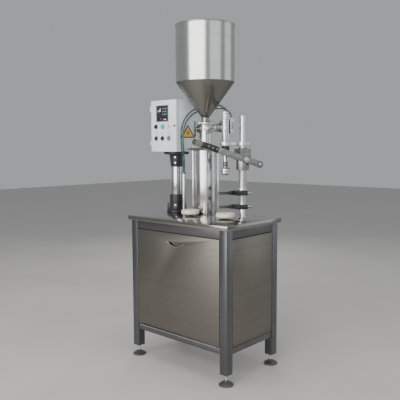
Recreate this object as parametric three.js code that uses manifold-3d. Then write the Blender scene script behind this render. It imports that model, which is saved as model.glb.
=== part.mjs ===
// Piston liquid filler on a four-legged cabinet.
// Millimetres, +Z up. Built about the middle of the cabinet on the floor, then moved so that the
// middle of the whole machine's footprint is the origin.
import * as THREE from "three";
import { mergeVertices } from "three/addons/utils/BufferGeometryUtils.js";
import Module from "manifold-3d";

const wasm = await Module();
wasm.setup();

// ---- clearances ----
const SEAT_GAP = 0.3; // between two pieces that touch
const RUN_GAP = 0.5; // around a piece that slides or turns
const PANEL_GAP = 3; // around doors and panels
const PAST = 1; // how far a cutting tool runs past a face, or a joined piece into its neighbour

// ---- cabinet ----
const TABLE_LENGTH = 764;
const TABLE_DEPTH = 480;
const TABLE_HEIGHT = 850;
const TABLE_SKIRT = 26;
const TABLE_SHEET = 3;
const TABLE_OVERHANG = 15;
const LEG_SIDE = 48;
const LEG_WALL = 2;
const LEG_PLATE = 6;
const LEG_BOTTOM = 60;
const RAIL_INSET = 2;
const RAIL_WIDTH = LEG_SIDE + 4;
const UPPER_RAIL_HEIGHT = 70;
const LOWER_RAIL_BOTTOM = 166;
const LOWER_RAIL_HEIGHT = 34;
const PANEL_DEPTH = 20;
const PANEL_WALL = 2;
const FLOOR_SHEET = 3;
const PULL_LENGTH = 131;
const PULL_HEIGHT = 23;
const PULL_DROP = 50;
const PULL_DEPTH = 18;
const PULL_WALL = 1.5;
const HINGE_RADIUS = 3;
const HINGE_LENGTH = 600;
const FOOT_PAD_RADIUS = 39;
const FOOT_PAD_HEIGHT = 8;
const FOOT_DOME_HEIGHT = 22;
const FOOT_STUD_RADIUS = 6;
const FOOT_STUD_REACH = 45;
const FOOT_NUT_RADIUS = 11;
const FOOT_NUT_HEIGHT = 10;

// ---- dosing cylinder, its drive and the hopper ----
const DOSING_RADIUS = 63.5;
const DOSING_WALL = 4;
const DOSING_HEIGHT = 383;
const TIE_ROD_RADIUS = 7;
const TIE_ROD_CLEARANCE = 4.5; // between a tie rod and the dosing cylinder
const TIE_ROD_OFFSET = (DOSING_RADIUS + TIE_ROD_RADIUS + TIE_ROD_CLEARANCE) / Math.SQRT2;
const TIE_NUT_RADIUS = 11;
const TIE_NUT_HEIGHT = 13;
const TIE_NUT_CLEARANCE = 3; // between a tie rod's nut and the back rail
const TOP_PLATE_EDGE = 24; // beyond the tie rods
const TOP_PLATE_SIDE = 2 * (TIE_ROD_OFFSET + TOP_PLATE_EDGE);
const TOP_PLATE_THICK = 12;
const BACK_RAIL_FACE = TABLE_DEPTH / 2 - TABLE_OVERHANG - RAIL_INSET - RAIL_WIDTH;
const DOSING_X = -70;
const DOSING_Y = BACK_RAIL_FACE - TIE_NUT_CLEARANCE - TIE_NUT_RADIUS - TIE_ROD_OFFSET;
const PISTON_HEIGHT = 40;
const PISTON_CLEARANCE = 6;
const PISTON_GROOVE = 3;
const PISTON_ROD_RADIUS = 12.5;
const PISTON_STROKE = 300;
const DRIVE_RADIUS = 42;
const DRIVE_WALL = 5;
const DRIVE_CAP = 14;
const DRIVE_FLANGE_RADIUS = 56;
const DRIVE_PISTON_HEIGHT = 24;
const DRIVE_END_SPACE = 12;
const PRODUCT_BORE_RADIUS = 13;
const VALVE_RADIUS = 36;
const VALVE_AXIS_HEIGHT = 508;
const VALVE_TOP_HEIGHT = 540;
const VALVE_BARREL_RADIUS = 21;
const VALVE_BARREL_HALF = 42;
const VALVE_PLUG_RADIUS = 17;
const VALVE_PLUG_END = 34;
const VALVE_GATE_WALL = 4.8;
const VALVE_GATE_MARGIN = 1;
const VALVE_FLANGE_THICK = 8;
const VALVE_SHAFT_RADIUS = 9;
const VALVE_SHAFT_REACH = 74;
const VALVE_HANDLE_LENGTH = 95;
const VALVE_HANDLE_WIDTH = 22;
const VALVE_HANDLE_THICK = 12;
const FERRULE_RADIUS = 42;
const FERRULE_THICK = 8;
const CLAMP_WIDTH = 12;
const CLAMP_HEIGHT = 21;
const NECK_RADIUS = 23;
const HOPPER_RADIUS = 174;
const HOPPER_WALL = 3;
const HOPPER_CONE_BOTTOM = 575;
const HOPPER_CONE_HEIGHT = 205;
const HOPPER_SHELL_HEIGHT = 328;
const HOPPER_BEAD = 4;
const OUTLET_RADIUS = 20;
const OUTLET_WALL = 3;
const OUTLET_FLANGE_RADIUS = 26;
const OUTLET_FLANGE_THICK = 7;
const OUTLET_STUB = 64;

// ---- nozzle ----
const NOZZLE_X = 185;
const NOZZLE_Y = -17;
const NOZZLE_HEAD_RADIUS = 21.5;
const NOZZLE_HEAD_BOTTOM = 425;
const NOZZLE_HEAD_TOP = 550;
const NOZZLE_INLET = 46;
const GLAND_RADIUS = 23.5;
const GLAND_HEIGHT = 45;
const STEM_RADIUS = 10;
const STEM_BORE_RADIUS = 6;
const STEM_TOP = 490;
const STEM_RING_RADIUS = 12;
const STEM_RING_HEIGHT = 28;
const TIP_RADIUS = 25;
const TIP_HEIGHT = 40;
const TIP_BOTTOM = 247;
const TIP_CHAMFER = 5;
const ACTUATOR_RADIUS = 20;
const ACTUATOR_HEIGHT = 40;
const ACTUATOR_WALL = 3;
const PIN_RADIUS = 3;
const PIN_DISC_HEIGHT = 8;
const PILOT_WIDTH = 28;
const PILOT_DEPTH = 27;
const PILOT_DROP = 78;
const PILOT_PLATE = 6;

// ---- column, lever and guides ----
const COLUMN_X = 225;
const COLUMN_Y = 85;
const COLUMN_RADIUS = 17.5;
const COLUMN_HEIGHT = 575;
const COLUMN_CHAMFER = 2;
const COLUMN_RING_RADIUS = COLUMN_RADIUS + 6.5;
const COLUMN_RING_HEIGHT = 8;
const STOP_RING_RADIUS = COLUMN_RADIUS + 9.5;
const STOP_RING_BOTTOM = 157;
const STOP_RING_HEIGHT = 10;
const TOP_CLAMP_BOTTOM = 405;
const TOP_CLAMP_HEIGHT = 22;
const TOP_CLAMP_WIDTH = 20;
const TOP_CLAMP_STUB = 46;
const CLAMP_RING_WALL = 10;
const CARRIAGE_WALL = 17.5;
const CARRIAGE_SIDE = 2 * (COLUMN_RADIUS + CARRIAGE_WALL);
const CARRIAGE_BOTTOM = 329;
const CARRIAGE_HEIGHT = 62;
const SLEEVE_RADIUS = COLUMN_RADIUS + 19;
const SLEEVE_HEIGHT = 56;
const LEVER_HEIGHT = 33;
const LEVER_THICK = 10;
const LEVER_RISE = THREE.MathUtils.degToRad(17.3);
const LEVER_AXIS_HEIGHT = 329;
const LEVER_TAIL = 91;
const LEVER_REACH = 185;
const LEVER_TAIL_RADIUS = 20;
const YOKE_HEIGHT = 24;
const YOKE_RADIUS = 18;
const YOKE_DROP = 2; // below the gland
const HOLDER_LENGTH = 104;
const HOLDER_THICK = 22;
const GRIP_RADIUS = 16.5;
const GRIP_LENGTH = 52;
const SPRING_INNER = COLUMN_RADIUS + 2.5;
const SPRING_WIRE = 6;
const SPRING_OUTER = SPRING_INNER + SPRING_WIRE;
const GUIDE_HEIGHT = 26;
const GUIDE_LENGTH = 62;
const GUIDE_SIDE_WALL = 4.5;
const GUIDE_BACK_WALL = 6;
const GUIDE_ROD_RADIUS = 7.5;
const GUIDE_ROD_OFFSET = 42;
const GUIDE_ROD_REACH = 126;
const GUIDE_STUB_RADIUS = 8.5;
const GUIDE_STUB_REACH = 54;
const UPPER_GUIDE_BOTTOM = 129;
const LOWER_GUIDE_BOTTOM = 51;

// ---- rest discs ----
const DISC_RADIUS = 53;
const DISC_THICK = 23;
const DISC_BOTTOM = 12;
const DISC_STUD_RADIUS = 8;
const DISC_FOOT_RADIUS = 18;
const DISC_ROUND = 3;
const LEFT_DISC_X = -75;
const LEFT_DISC_CLEARANCE = 12.5; // between the disc and the dosing cylinder
const LEFT_DISC_Y = DOSING_Y - DOSING_RADIUS - LEFT_DISC_CLEARANCE - DISC_RADIUS;

// ---- pedestal, enclosure and its controls ----
const PEDESTAL_X = -300;
const PEDESTAL_Y = 90;
const PEDESTAL_BASE_HEIGHT = 109;
const PEDESTAL_BASE_RADIUS = 43;
const PEDESTAL_FLANGE_RADIUS = 62;
const PEDESTAL_FLANGE_HEIGHT = 12;
const PEDESTAL_TUBE_RADIUS = 33.5;
const PEDESTAL_TUBE_WALL = 3;
const PEDESTAL_TUBE_TOP = 281;
const PEDESTAL_HEAD_LOW_RADIUS = 34;
const PEDESTAL_HEAD_HIGH_RADIUS = 42;
const PEDESTAL_HEAD_FLANGE_RADIUS = 78;
const PEDESTAL_HEAD_TOP = 374;
const PEDESTAL_HEAD_FLANGE = 17;
const CABLE_BORE_RADIUS = 24;
const BOX_WIDTH = 215;
const BOX_DEPTH = 163;
const BOX_HEIGHT = 309;
const BOX_WALL = 2;
const BOX_SHIFT_X = -2.5;
const BOX_FRONT = -80;
const BOX_DOOR_DEPTH = 28;
const BUTTON_RADIUS = 11;
const BUTTON_PROUD = 8;
const BUTTON_LENGTH = 26;
const SELECTOR_RIDGE_HALF = 3;
const CONTROL_COLUMNS = [-64, -9, 45]; // across the door, from its middle
const CONTROL_ROWS = [-3, -74]; // up the door, from its middle

// ---- air line ----
const CONDUIT_X = -185;
const CONDUIT_Y = 35;
const CONDUIT_RADIUS = 10;
const CONDUIT_BORE_RADIUS = 8.5;
const CONDUIT_HEIGHT = 250;
const HOSE_RADIUS = 4;
const HOSE_STEPS = 36;
const HOSE_SIDES = 4;

// ---- fineness of round pieces ----
const FINE = 36;
const MEDIUM = 24;
const COARSE = 14;

const FINISH = {
  brushed: { color: 0x9a9691, roughness: 0.42, metalness: 1 },
  polished: { color: 0xc9c9c7, roughness: 0.18, metalness: 1 },
  frame: { color: 0x8d8f93, roughness: 0.4, metalness: 1 },
  dark: { color: 0x2a2c2d, roughness: 0.5, metalness: 0.1 },
  black: { color: 0x17181a, roughness: 0.45, metalness: 0 },
  cream: { color: 0xece6cd, roughness: 0.5, metalness: 0 },
  paint: { color: 0xd9dedd, roughness: 0.5, metalness: 0 },
  grip: { color: 0x6e675e, roughness: 0.6, metalness: 0 },
  teal: { color: 0x2f9e98, roughness: 0.35, metalness: 0 },
  green: { color: 0x2f8f46, roughness: 0.35, metalness: 0 },
  hose: { color: 0x1d4a46, roughness: 0.4, metalness: 0 },
};

// ---- solids ----

/** A closed geometry as a manifold solid. */
function toSolid(geometry) {
  const bare = geometry.clone();
  bare.deleteAttribute("normal");
  bare.deleteAttribute("uv");
  const merged = mergeVertices(bare);
  return new wasm.Manifold(new wasm.Mesh({
    numProp: 3,
    vertProperties: new Float32Array(merged.attributes.position.array),
    triVerts: new Uint32Array(merged.index.array),
  }));
}

/** A manifold solid as a geometry. */
function toGeometry(solid) {
  const mesh = solid.getMesh();
  const geometry = new THREE.BufferGeometry();
  geometry.setAttribute("position", new THREE.BufferAttribute(mesh.vertProperties, 3));
  geometry.setIndex(new THREE.BufferAttribute(mesh.triVerts, 1));
  return geometry;
}

function join(first, ...others) {
  return toGeometry(others.reduce((sum, other) => sum.add(toSolid(other)), toSolid(first)));
}

function cut(first, ...tools) {
  return toGeometry(tools.reduce((rest, tool) => rest.subtract(toSolid(tool)), toSolid(first)));
}

/** A box between two limits on each axis. */
function block([x0, x1], [y0, y1], [z0, z1]) {
  const geometry = new THREE.BoxGeometry(x1 - x0, y1 - y0, z1 - z0);
  return geometry.translate((x0 + x1) / 2, (y0 + y1) / 2, (z0 + z1) / 2);
}

/** A box centred on x = y = 0. */
function centredBlock(width, depth, z0, z1) {
  return block([-width / 2, width / 2], [-depth / 2, depth / 2], [z0, z1]);
}

/** An upright round bar at (x, y). */
function uprightBar(radius, z0, z1, x = 0, y = 0, sides = MEDIUM) {
  const geometry = new THREE.CylinderGeometry(radius, radius, z1 - z0, sides);
  return geometry.rotateX(Math.PI / 2).translate(x, y, (z0 + z1) / 2);
}

/** A round bar along X at (y, z). */
function barAlongX(radius, x0, x1, y, z, sides = MEDIUM) {
  const geometry = new THREE.CylinderGeometry(radius, radius, x1 - x0, sides);
  return geometry.rotateZ(Math.PI / 2).translate((x0 + x1) / 2, y, z);
}

/** A round bar along Y at (x, z). */
function barAlongY(radius, y0, y1, x, z, sides = MEDIUM) {
  const geometry = new THREE.CylinderGeometry(radius, radius, y1 - y0, sides);
  return geometry.translate(x, (y0 + y1) / 2, z);
}

/** A body turned about Z from [radius, height] points, which run up the outside. */
function turned(points, sides = MEDIUM) {
  const profile = points.map(([radius, height]) => new THREE.Vector2(radius, height));
  return new THREE.LatheGeometry(profile, sides).rotateX(Math.PI / 2);
}

/** A round tube with open ends. */
function pipe(outer, inner, z0, z1, sides = MEDIUM) {
  return turned([[inner, z0], [outer, z0], [outer, z1], [inner, z1], [inner, z0]], sides);
}

/** A sheet tray: a box with a wall on five sides, open towards the given side of Y. */
function trayAlongY([x0, x1], [y0, y1], [z0, z1], wall, openFront) {
  const hollowY = openFront ? [y0 - wall, y1 - wall] : [y0 + wall, y1 + wall];
  const hollow = block([x0 + wall, x1 - wall], hollowY, [z0 + wall, z1 - wall]);
  return cut(block([x0, x1], [y0, y1], [z0, z1]), hollow);
}

const machine = new THREE.Group();

/** Adds one named piece to a group. */
function add(group, name, finish, geometry, place = [0, 0, 0]) {
  geometry.computeVertexNormals();
  const mesh = new THREE.Mesh(geometry, new THREE.MeshStandardMaterial(FINISH[finish]));
  mesh.name = name;
  mesh.position.set(...place);
  group.add(mesh);
}

/** A group that stands on the table top at (x, y), turned about Z. */
function tableGroup(x, y, turn = 0) {
  const group = new THREE.Group();
  group.position.set(x, y, TABLE_HEIGHT);
  group.rotation.z = turn;
  machine.add(group);
  return group;
}

// ---- cabinet ----
const frameX = TABLE_LENGTH / 2 - TABLE_OVERHANG;
const frameY = TABLE_DEPTH / 2 - TABLE_OVERHANG;
const legX = frameX - LEG_SIDE / 2;
const legY = frameY - LEG_SIDE / 2;
const sheetBottom = TABLE_HEIGHT - TABLE_SHEET;
const frameTop = sheetBottom - SEAT_GAP;
const upperRailBottom = frameTop - UPPER_RAIL_HEIGHT;
const lowerRailTop = LOWER_RAIL_BOTTOM + LOWER_RAIL_HEIGHT;
const panelBottom = lowerRailTop + PANEL_GAP;
const panelTop = upperRailBottom - PANEL_GAP;
const doorHalf = frameX - LEG_SIDE - PANEL_GAP;
const sideHalf = frameY - LEG_SIDE - PANEL_GAP;

/** One corner's leg: a square tube with a drilled plate in its foot. */
function legShape() {
  const tube = centredBlock(LEG_SIDE, LEG_SIDE, LEG_BOTTOM, frameTop);
  const inside = LEG_SIDE - 2 * LEG_WALL;
  const hollow = centredBlock(inside, inside, LEG_BOTTOM + LEG_PLATE, frameTop + LEG_WALL);
  const hole = uprightBar(FOOT_STUD_RADIUS + RUN_GAP, LEG_BOTTOM - PAST, LEG_BOTTOM + LEG_PLATE + PAST);
  return cut(tube, hollow, hole);
}

/** A levelling foot: domed pad, stud and lock nut. */
function footShape() {
  const nutTop = LEG_BOTTOM - SEAT_GAP;
  const nutBottom = nutTop - FOOT_NUT_HEIGHT;
  return turned([
    [0, 0],
    [FOOT_PAD_RADIUS, 0],
    [FOOT_PAD_RADIUS, FOOT_PAD_HEIGHT],
    [FOOT_PAD_RADIUS * 0.7, FOOT_DOME_HEIGHT * 0.75],
    [FOOT_STUD_RADIUS * 2, FOOT_DOME_HEIGHT],
    [FOOT_STUD_RADIUS, FOOT_DOME_HEIGHT],
    [FOOT_STUD_RADIUS, nutBottom],
    [FOOT_NUT_RADIUS, nutBottom],
    [FOOT_NUT_RADIUS, nutTop],
    [FOOT_STUD_RADIUS, nutTop],
    [FOOT_STUD_RADIUS, nutTop + FOOT_STUD_REACH],
    [0, nutTop + FOOT_STUD_REACH],
  ], COARSE);
}

/** A rectangular frame ring, notched round the legs. */
function railRing(z0, z1) {
  const outerX = 2 * (frameX - RAIL_INSET);
  const outerY = 2 * (frameY - RAIL_INSET);
  const ring = centredBlock(outerX, outerY, z0, z1);
  const inside = centredBlock(outerX - 2 * RAIL_WIDTH, outerY - 2 * RAIL_WIDTH, z0 - PAST, z1 + 1);
  const notches = [];
  const notchHalf = LEG_SIDE / 2 + SEAT_GAP;
  for (const x of [-legX, legX]) {
    for (const y of [-legY, legY]) {
      const acrossX = [x - notchHalf, x + notchHalf];
      const acrossY = [y - notchHalf, y + notchHalf];
      notches.push(block(acrossX, acrossY, [z0 - PAST, z1 + 1]));
    }
  }
  return cut(ring, inside, ...notches);
}

/** The half-moon outline of the finger pull, straight above and round below, drawn in by an inset. */
function halfMoon(inset) {
  const half = PULL_LENGTH / 2;
  const fullRadius = (half * half + PULL_HEIGHT * PULL_HEIGHT) / (2 * PULL_HEIGHT);
  const centreAbove = fullRadius - PULL_HEIGHT;
  const radius = fullRadius - inset;
  const reach = Math.acos((centreAbove + inset) / radius);
  const shape = new THREE.Shape();
  shape.absarc(0, centreAbove, radius, -Math.PI / 2 - reach, -Math.PI / 2 + reach, false);
  shape.closePath();
  return shape;
}

/** The half-moon pushed through the door, from y0 to y1. */
function moonPrism(inset, y0, y1) {
  const options = { depth: y1 - y0, bevelEnabled: false, curveSegments: COARSE };
  const pullTop = panelTop - PULL_DROP;
  return new THREE.ExtrudeGeometry(halfMoon(inset), options).rotateX(Math.PI / 2).translate(0, y1, pullTop);
}

/** The sheet top with its turned-down skirt and the holes that the machine above needs. */
function tabletopShape() {
  const skirtBottom = TABLE_HEIGHT - TABLE_SKIRT;
  const slab = centredBlock(TABLE_LENGTH, TABLE_DEPTH, skirtBottom, TABLE_HEIGHT);
  const insideX = TABLE_LENGTH - 2 * TABLE_SHEET;
  const insideY = TABLE_DEPTH - 2 * TABLE_SHEET;
  const hollow = centredBlock(insideX, insideY, skirtBottom - PAST, sheetBottom);
  const drill = (radius, x, y) => uprightBar(radius, sheetBottom - PAST, TABLE_HEIGHT + PAST, x, y);
  const holes = [drill(PISTON_ROD_RADIUS + RUN_GAP, DOSING_X, DOSING_Y)];
  for (const [x, y] of tieRodPlaces()) {
    holes.push(drill(TIE_ROD_RADIUS + SEAT_GAP, DOSING_X + x, DOSING_Y + y));
  }
  holes.push(drill(CONDUIT_BORE_RADIUS, CONDUIT_X, CONDUIT_Y));
  return cut(slab, hollow, ...holes);
}

function tieRodPlaces() {
  const half = TIE_ROD_OFFSET;
  return [[-half, -half], [half, -half], [-half, half], [half, half]];
}

function buildCabinet() {
  const corners = { front_left: [-1, -1], front_right: [1, -1], back_left: [-1, 1], back_right: [1, 1] };
  for (const [corner, [sx, sy]] of Object.entries(corners)) {
    const place = [sx * legX, sy * legY, 0];
    add(machine, `leg_${corner}`, "frame", legShape(), place);
    add(machine, `foot_${corner}`, "black", footShape(), place);
  }
  add(machine, "upper_frame", "brushed", railRing(upperRailBottom, frameTop));
  add(machine, "lower_frame", "brushed", railRing(LOWER_RAIL_BOTTOM, lowerRailTop));
  add(machine, "tabletop", "polished", tabletopShape());

  const height = [panelBottom, panelTop];
  const doorWidth = [-doorHalf, doorHalf];
  const frontDepth = [-frameY, -frameY + PANEL_DEPTH];
  const door = trayAlongY(doorWidth, frontDepth, height, PANEL_WALL, false);
  const pullHole = moonPrism(0, -frameY - PAST, -frameY + PANEL_WALL + PAST);
  add(machine, "front_door", "brushed", cut(door, pullHole));
  const cupBack = -frameY + PULL_DEPTH;
  const cup = moonPrism(SEAT_GAP, -frameY, cupBack);
  const cupHollow = moonPrism(SEAT_GAP + PULL_WALL, -frameY - PAST, cupBack - PULL_WALL);
  add(machine, "door_pull", "polished", cut(cup, cupHollow));
  const hingeY = -frameY - HINGE_RADIUS - RUN_GAP;
  const hinge = barAlongX(HINGE_RADIUS, -HINGE_LENGTH / 2, HINGE_LENGTH / 2, hingeY, lowerRailTop, COARSE);
  add(machine, "door_hinge", "polished", hinge);

  const backDepth = [frameY - PANEL_DEPTH, frameY];
  add(machine, "back_panel", "brushed", trayAlongY(doorWidth, backDepth, height, PANEL_WALL, true));
  const sideDepth = [-frameX, -frameX + PANEL_DEPTH];
  const sideTray = trayAlongY([-sideHalf, sideHalf], sideDepth, height, PANEL_WALL, false);
  add(machine, "right_panel", "brushed", sideTray.clone().rotateZ(Math.PI / 2));
  add(machine, "left_panel", "brushed", sideTray.clone().rotateZ(-Math.PI / 2));
  const floorTop = lowerRailTop + SEAT_GAP + FLOOR_SHEET;
  const floorSheet = centredBlock(2 * doorHalf, 2 * sideHalf, lowerRailTop + SEAT_GAP, floorTop);
  add(machine, "floor_panel", "brushed", floorSheet);
}

// ---- dosing cylinder and hopper ----
const plateBottom = DOSING_HEIGHT + SEAT_GAP;
const plateTop = plateBottom + TOP_PLATE_THICK;
const dosingBore = DOSING_RADIUS - DOSING_WALL;
const driveBore = DRIVE_RADIUS - DRIVE_WALL;
const outletTurn = Math.atan2(NOZZLE_Y - DOSING_Y, NOZZLE_X - DOSING_X);
const nozzleDistance = Math.hypot(NOZZLE_X - DOSING_X, NOZZLE_Y - DOSING_Y);
const hopperBottom = VALVE_TOP_HEIGHT + SEAT_GAP;

function buildDosingCylinder() {
  const dosing = tableGroup(DOSING_X, DOSING_Y);
  add(dosing, "dosing_cylinder", "polished", pipe(DOSING_RADIUS, dosingBore, SEAT_GAP, DOSING_HEIGHT, FINE));
  const plate = centredBlock(TOP_PLATE_SIDE, TOP_PLATE_SIDE, plateBottom, plateTop);
  const holes = [uprightBar(PRODUCT_BORE_RADIUS, plateBottom - PAST, plateTop + PAST)];
  for (const [x, y] of tieRodPlaces()) {
    holes.push(uprightBar(TIE_ROD_RADIUS + SEAT_GAP, plateBottom - PAST, plateTop + PAST, x, y, COARSE));
  }
  add(dosing, "top_plate", "polished", cut(plate, ...holes));

  const rodNames = ["front_left", "front_right", "back_left", "back_right"];
  tieRodPlaces().forEach(([x, y], index) => {
    const nutBottom = plateTop + SEAT_GAP;
    const lowNutTop = -TABLE_SHEET - SEAT_GAP;
    const lowEnd = lowNutTop - TIE_NUT_HEIGHT;
    const rod = turned([
      [0, lowEnd],
      [TIE_NUT_RADIUS, lowEnd],
      [TIE_NUT_RADIUS, lowNutTop],
      [TIE_ROD_RADIUS, lowNutTop],
      [TIE_ROD_RADIUS, nutBottom],
      [TIE_NUT_RADIUS, nutBottom],
      [TIE_NUT_RADIUS, nutBottom + TIE_NUT_HEIGHT * 0.6],
      [TIE_NUT_RADIUS * 0.6, nutBottom + TIE_NUT_HEIGHT],
      [0, nutBottom + TIE_NUT_HEIGHT],
    ], COARSE);
    add(dosing, `tie_rod_${rodNames[index]}`, "polished", rod, [x, y, 0]);
  });

  const pistonRadius = dosingBore - RUN_GAP;
  const pistonTop = PISTON_CLEARANCE + PISTON_HEIGHT;
  const grooveLow = PISTON_CLEARANCE + PISTON_HEIGHT * 0.65;
  const piston = turned([
    [0, PISTON_CLEARANCE],
    [pistonRadius, PISTON_CLEARANCE],
    [pistonRadius, grooveLow],
    [pistonRadius - PISTON_GROOVE, grooveLow],
    [pistonRadius - PISTON_GROOVE, grooveLow + PISTON_GROOVE],
    [pistonRadius, grooveLow + PISTON_GROOVE],
    [pistonRadius, pistonTop],
    [0, pistonTop],
  ], FINE);
  add(dosing, "dosing_piston", "cream", piston);

  const drivePistonTop = -TABLE_SHEET - PISTON_STROKE - DRIVE_CAP - DRIVE_END_SPACE;
  const drivePistonBottom = drivePistonTop - DRIVE_PISTON_HEIGHT;
  const rodShape = turned([
    [0, drivePistonBottom],
    [driveBore - RUN_GAP, drivePistonBottom],
    [driveBore - RUN_GAP, drivePistonTop],
    [PISTON_ROD_RADIUS, drivePistonTop],
    [PISTON_ROD_RADIUS, PISTON_CLEARANCE - SEAT_GAP],
    [0, PISTON_CLEARANCE - SEAT_GAP],
  ]);
  add(dosing, "piston_rod", "polished", rodShape);

  const driveTop = -TABLE_SHEET - SEAT_GAP;
  const driveFloor = drivePistonBottom - DRIVE_END_SPACE;
  const driveShape = turned([
    [0, driveFloor - DRIVE_CAP],
    [DRIVE_RADIUS, driveFloor - DRIVE_CAP],
    [DRIVE_RADIUS, driveTop - DRIVE_CAP],
    [DRIVE_FLANGE_RADIUS, driveTop - DRIVE_CAP],
    [DRIVE_FLANGE_RADIUS, driveTop],
    [PISTON_ROD_RADIUS + RUN_GAP, driveTop],
    [PISTON_ROD_RADIUS + RUN_GAP, driveTop - DRIVE_CAP],
    [driveBore, driveTop - DRIVE_CAP],
    [driveBore, driveFloor],
    [0, driveFloor],
  ]);
  add(dosing, "drive_cylinder", "frame", driveShape);
}

/** The valve housing: upright body, cross barrel, outlet stub and top ferrule. */
function valveBodyShape(bottom) {
  const body = turned([
    [0, bottom],
    [VALVE_RADIUS, bottom],
    [VALVE_RADIUS, VALVE_TOP_HEIGHT - FERRULE_THICK],
    [FERRULE_RADIUS, VALVE_TOP_HEIGHT - FERRULE_THICK],
    [FERRULE_RADIUS, VALVE_TOP_HEIGHT],
    [0, VALVE_TOP_HEIGHT],
  ]);
  const axis = VALVE_AXIS_HEIGHT;
  const barrel = barAlongY(VALVE_BARREL_RADIUS, -VALVE_BARREL_HALF, VALVE_BARREL_HALF, 0, axis);
  const stub = barAlongX(OUTLET_RADIUS, 0, OUTLET_STUB, 0, axis);
  const flange = barAlongX(OUTLET_FLANGE_RADIUS, OUTLET_STUB - OUTLET_FLANGE_THICK, OUTLET_STUB, 0, axis);
  const cavityEnd = VALVE_PLUG_END + RUN_GAP;
  const cavity = barAlongY(VALVE_PLUG_RADIUS + RUN_GAP, -VALVE_BARREL_HALF - PAST, cavityEnd, 0, axis);
  const upright = uprightBar(PRODUCT_BORE_RADIUS, bottom - PAST, VALVE_TOP_HEIGHT + PAST);
  const outletBore = barAlongX(OUTLET_RADIUS - OUTLET_WALL, 0, OUTLET_STUB + PAST, 0, axis);
  return cut(join(body, barrel, stub, flange), cavity, upright, outletBore);
}

/** The valve plug: a half-round gate, end flange, shaft and hand lever, about Y through its origin. */
function valvePlugShape() {
  const flangeBack = -VALVE_BARREL_HALF - SEAT_GAP;
  const core = barAlongY(VALVE_PLUG_RADIUS, flangeBack - PAST, VALVE_PLUG_END, 0, 0);
  const side = 2 * VALVE_PLUG_RADIUS;
  const gateHalf = PRODUCT_BORE_RADIUS + VALVE_GATE_MARGIN;
  const gateBack = VALVE_PLUG_RADIUS - VALVE_GATE_WALL;
  const opening = block([-side, gateBack], [-gateHalf, gateHalf], [-side, side]);
  const flange = barAlongY(VALVE_BARREL_RADIUS, flangeBack - VALVE_FLANGE_THICK, flangeBack, 0, 0);
  const shaft = barAlongY(VALVE_SHAFT_RADIUS, -VALVE_SHAFT_REACH, flangeBack, 0, 0, COARSE);
  const handleWidth = [-VALVE_HANDLE_WIDTH / 2, VALVE_HANDLE_WIDTH / 2];
  const handleDepth = [-VALVE_SHAFT_REACH + PAST, -VALVE_SHAFT_REACH + 1 + VALVE_HANDLE_THICK];
  const handleHalf = VALVE_HANDLE_LENGTH / 2;
  const handle = block(handleWidth, handleDepth, [-handleHalf, handleHalf]);
  return join(cut(core, opening), flange, shaft, handle);
}

/** The thin open hopper: ferrule, neck, cone and straight shell with a rolled rim. */
function hopperShape() {
  const ferruleTop = hopperBottom + FERRULE_THICK;
  const coneTop = HOPPER_CONE_BOTTOM + HOPPER_CONE_HEIGHT;
  const rim = coneTop + HOPPER_SHELL_HEIGHT;
  const inner = HOPPER_RADIUS - HOPPER_WALL;
  const bore = NECK_RADIUS - HOPPER_WALL;
  return turned([
    [bore, hopperBottom],
    [FERRULE_RADIUS, hopperBottom],
    [FERRULE_RADIUS, ferruleTop],
    [NECK_RADIUS, ferruleTop],
    [NECK_RADIUS, HOPPER_CONE_BOTTOM],
    [HOPPER_RADIUS, coneTop],
    [HOPPER_RADIUS, rim - 2 * HOPPER_BEAD],
    [HOPPER_RADIUS + HOPPER_BEAD, rim - HOPPER_BEAD],
    [HOPPER_RADIUS, rim],
    [inner, rim],
    [inner, coneTop],
    [bore, HOPPER_CONE_BOTTOM],
    [bore, hopperBottom],
  ], FINE);
}

function buildValveAndHopper() {
  const valve = tableGroup(DOSING_X, DOSING_Y, outletTurn);
  add(valve, "valve_body", "polished", valveBodyShape(plateTop + SEAT_GAP));
  add(valve, "valve_plug", "frame", valvePlugShape(), [0, 0, VALVE_AXIS_HEIGHT]);
  add(valve, "hopper", "polished", hopperShape());
  const clampInner = FERRULE_RADIUS + SEAT_GAP;
  const clampMiddle = VALVE_TOP_HEIGHT + SEAT_GAP / 2;
  const clampLow = clampMiddle - CLAMP_HEIGHT / 2;
  const clampRing = pipe(clampInner + CLAMP_WIDTH, clampInner, clampLow, clampLow + CLAMP_HEIGHT, FINE);
  add(valve, "hopper_clamp", "polished", clampRing);

  const pipeStart = OUTLET_STUB + SEAT_GAP;
  const pipeEnd = nozzleDistance - NOZZLE_INLET - SEAT_GAP;
  const tube = barAlongX(OUTLET_RADIUS, pipeStart, pipeEnd, 0, VALVE_AXIS_HEIGHT);
  const flangeReach = OUTLET_FLANGE_THICK;
  const near = barAlongX(OUTLET_FLANGE_RADIUS, pipeStart, pipeStart + flangeReach, 0, VALVE_AXIS_HEIGHT);
  const far = barAlongX(OUTLET_FLANGE_RADIUS, pipeEnd - flangeReach, pipeEnd, 0, VALVE_AXIS_HEIGHT);
  const boreRadius = OUTLET_RADIUS - OUTLET_WALL;
  const bore = barAlongX(boreRadius, pipeStart - PAST, pipeEnd + PAST, 0, VALVE_AXIS_HEIGHT);
  add(valve, "outlet_pipe", "polished", cut(join(tube, near, far), bore));
}

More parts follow.
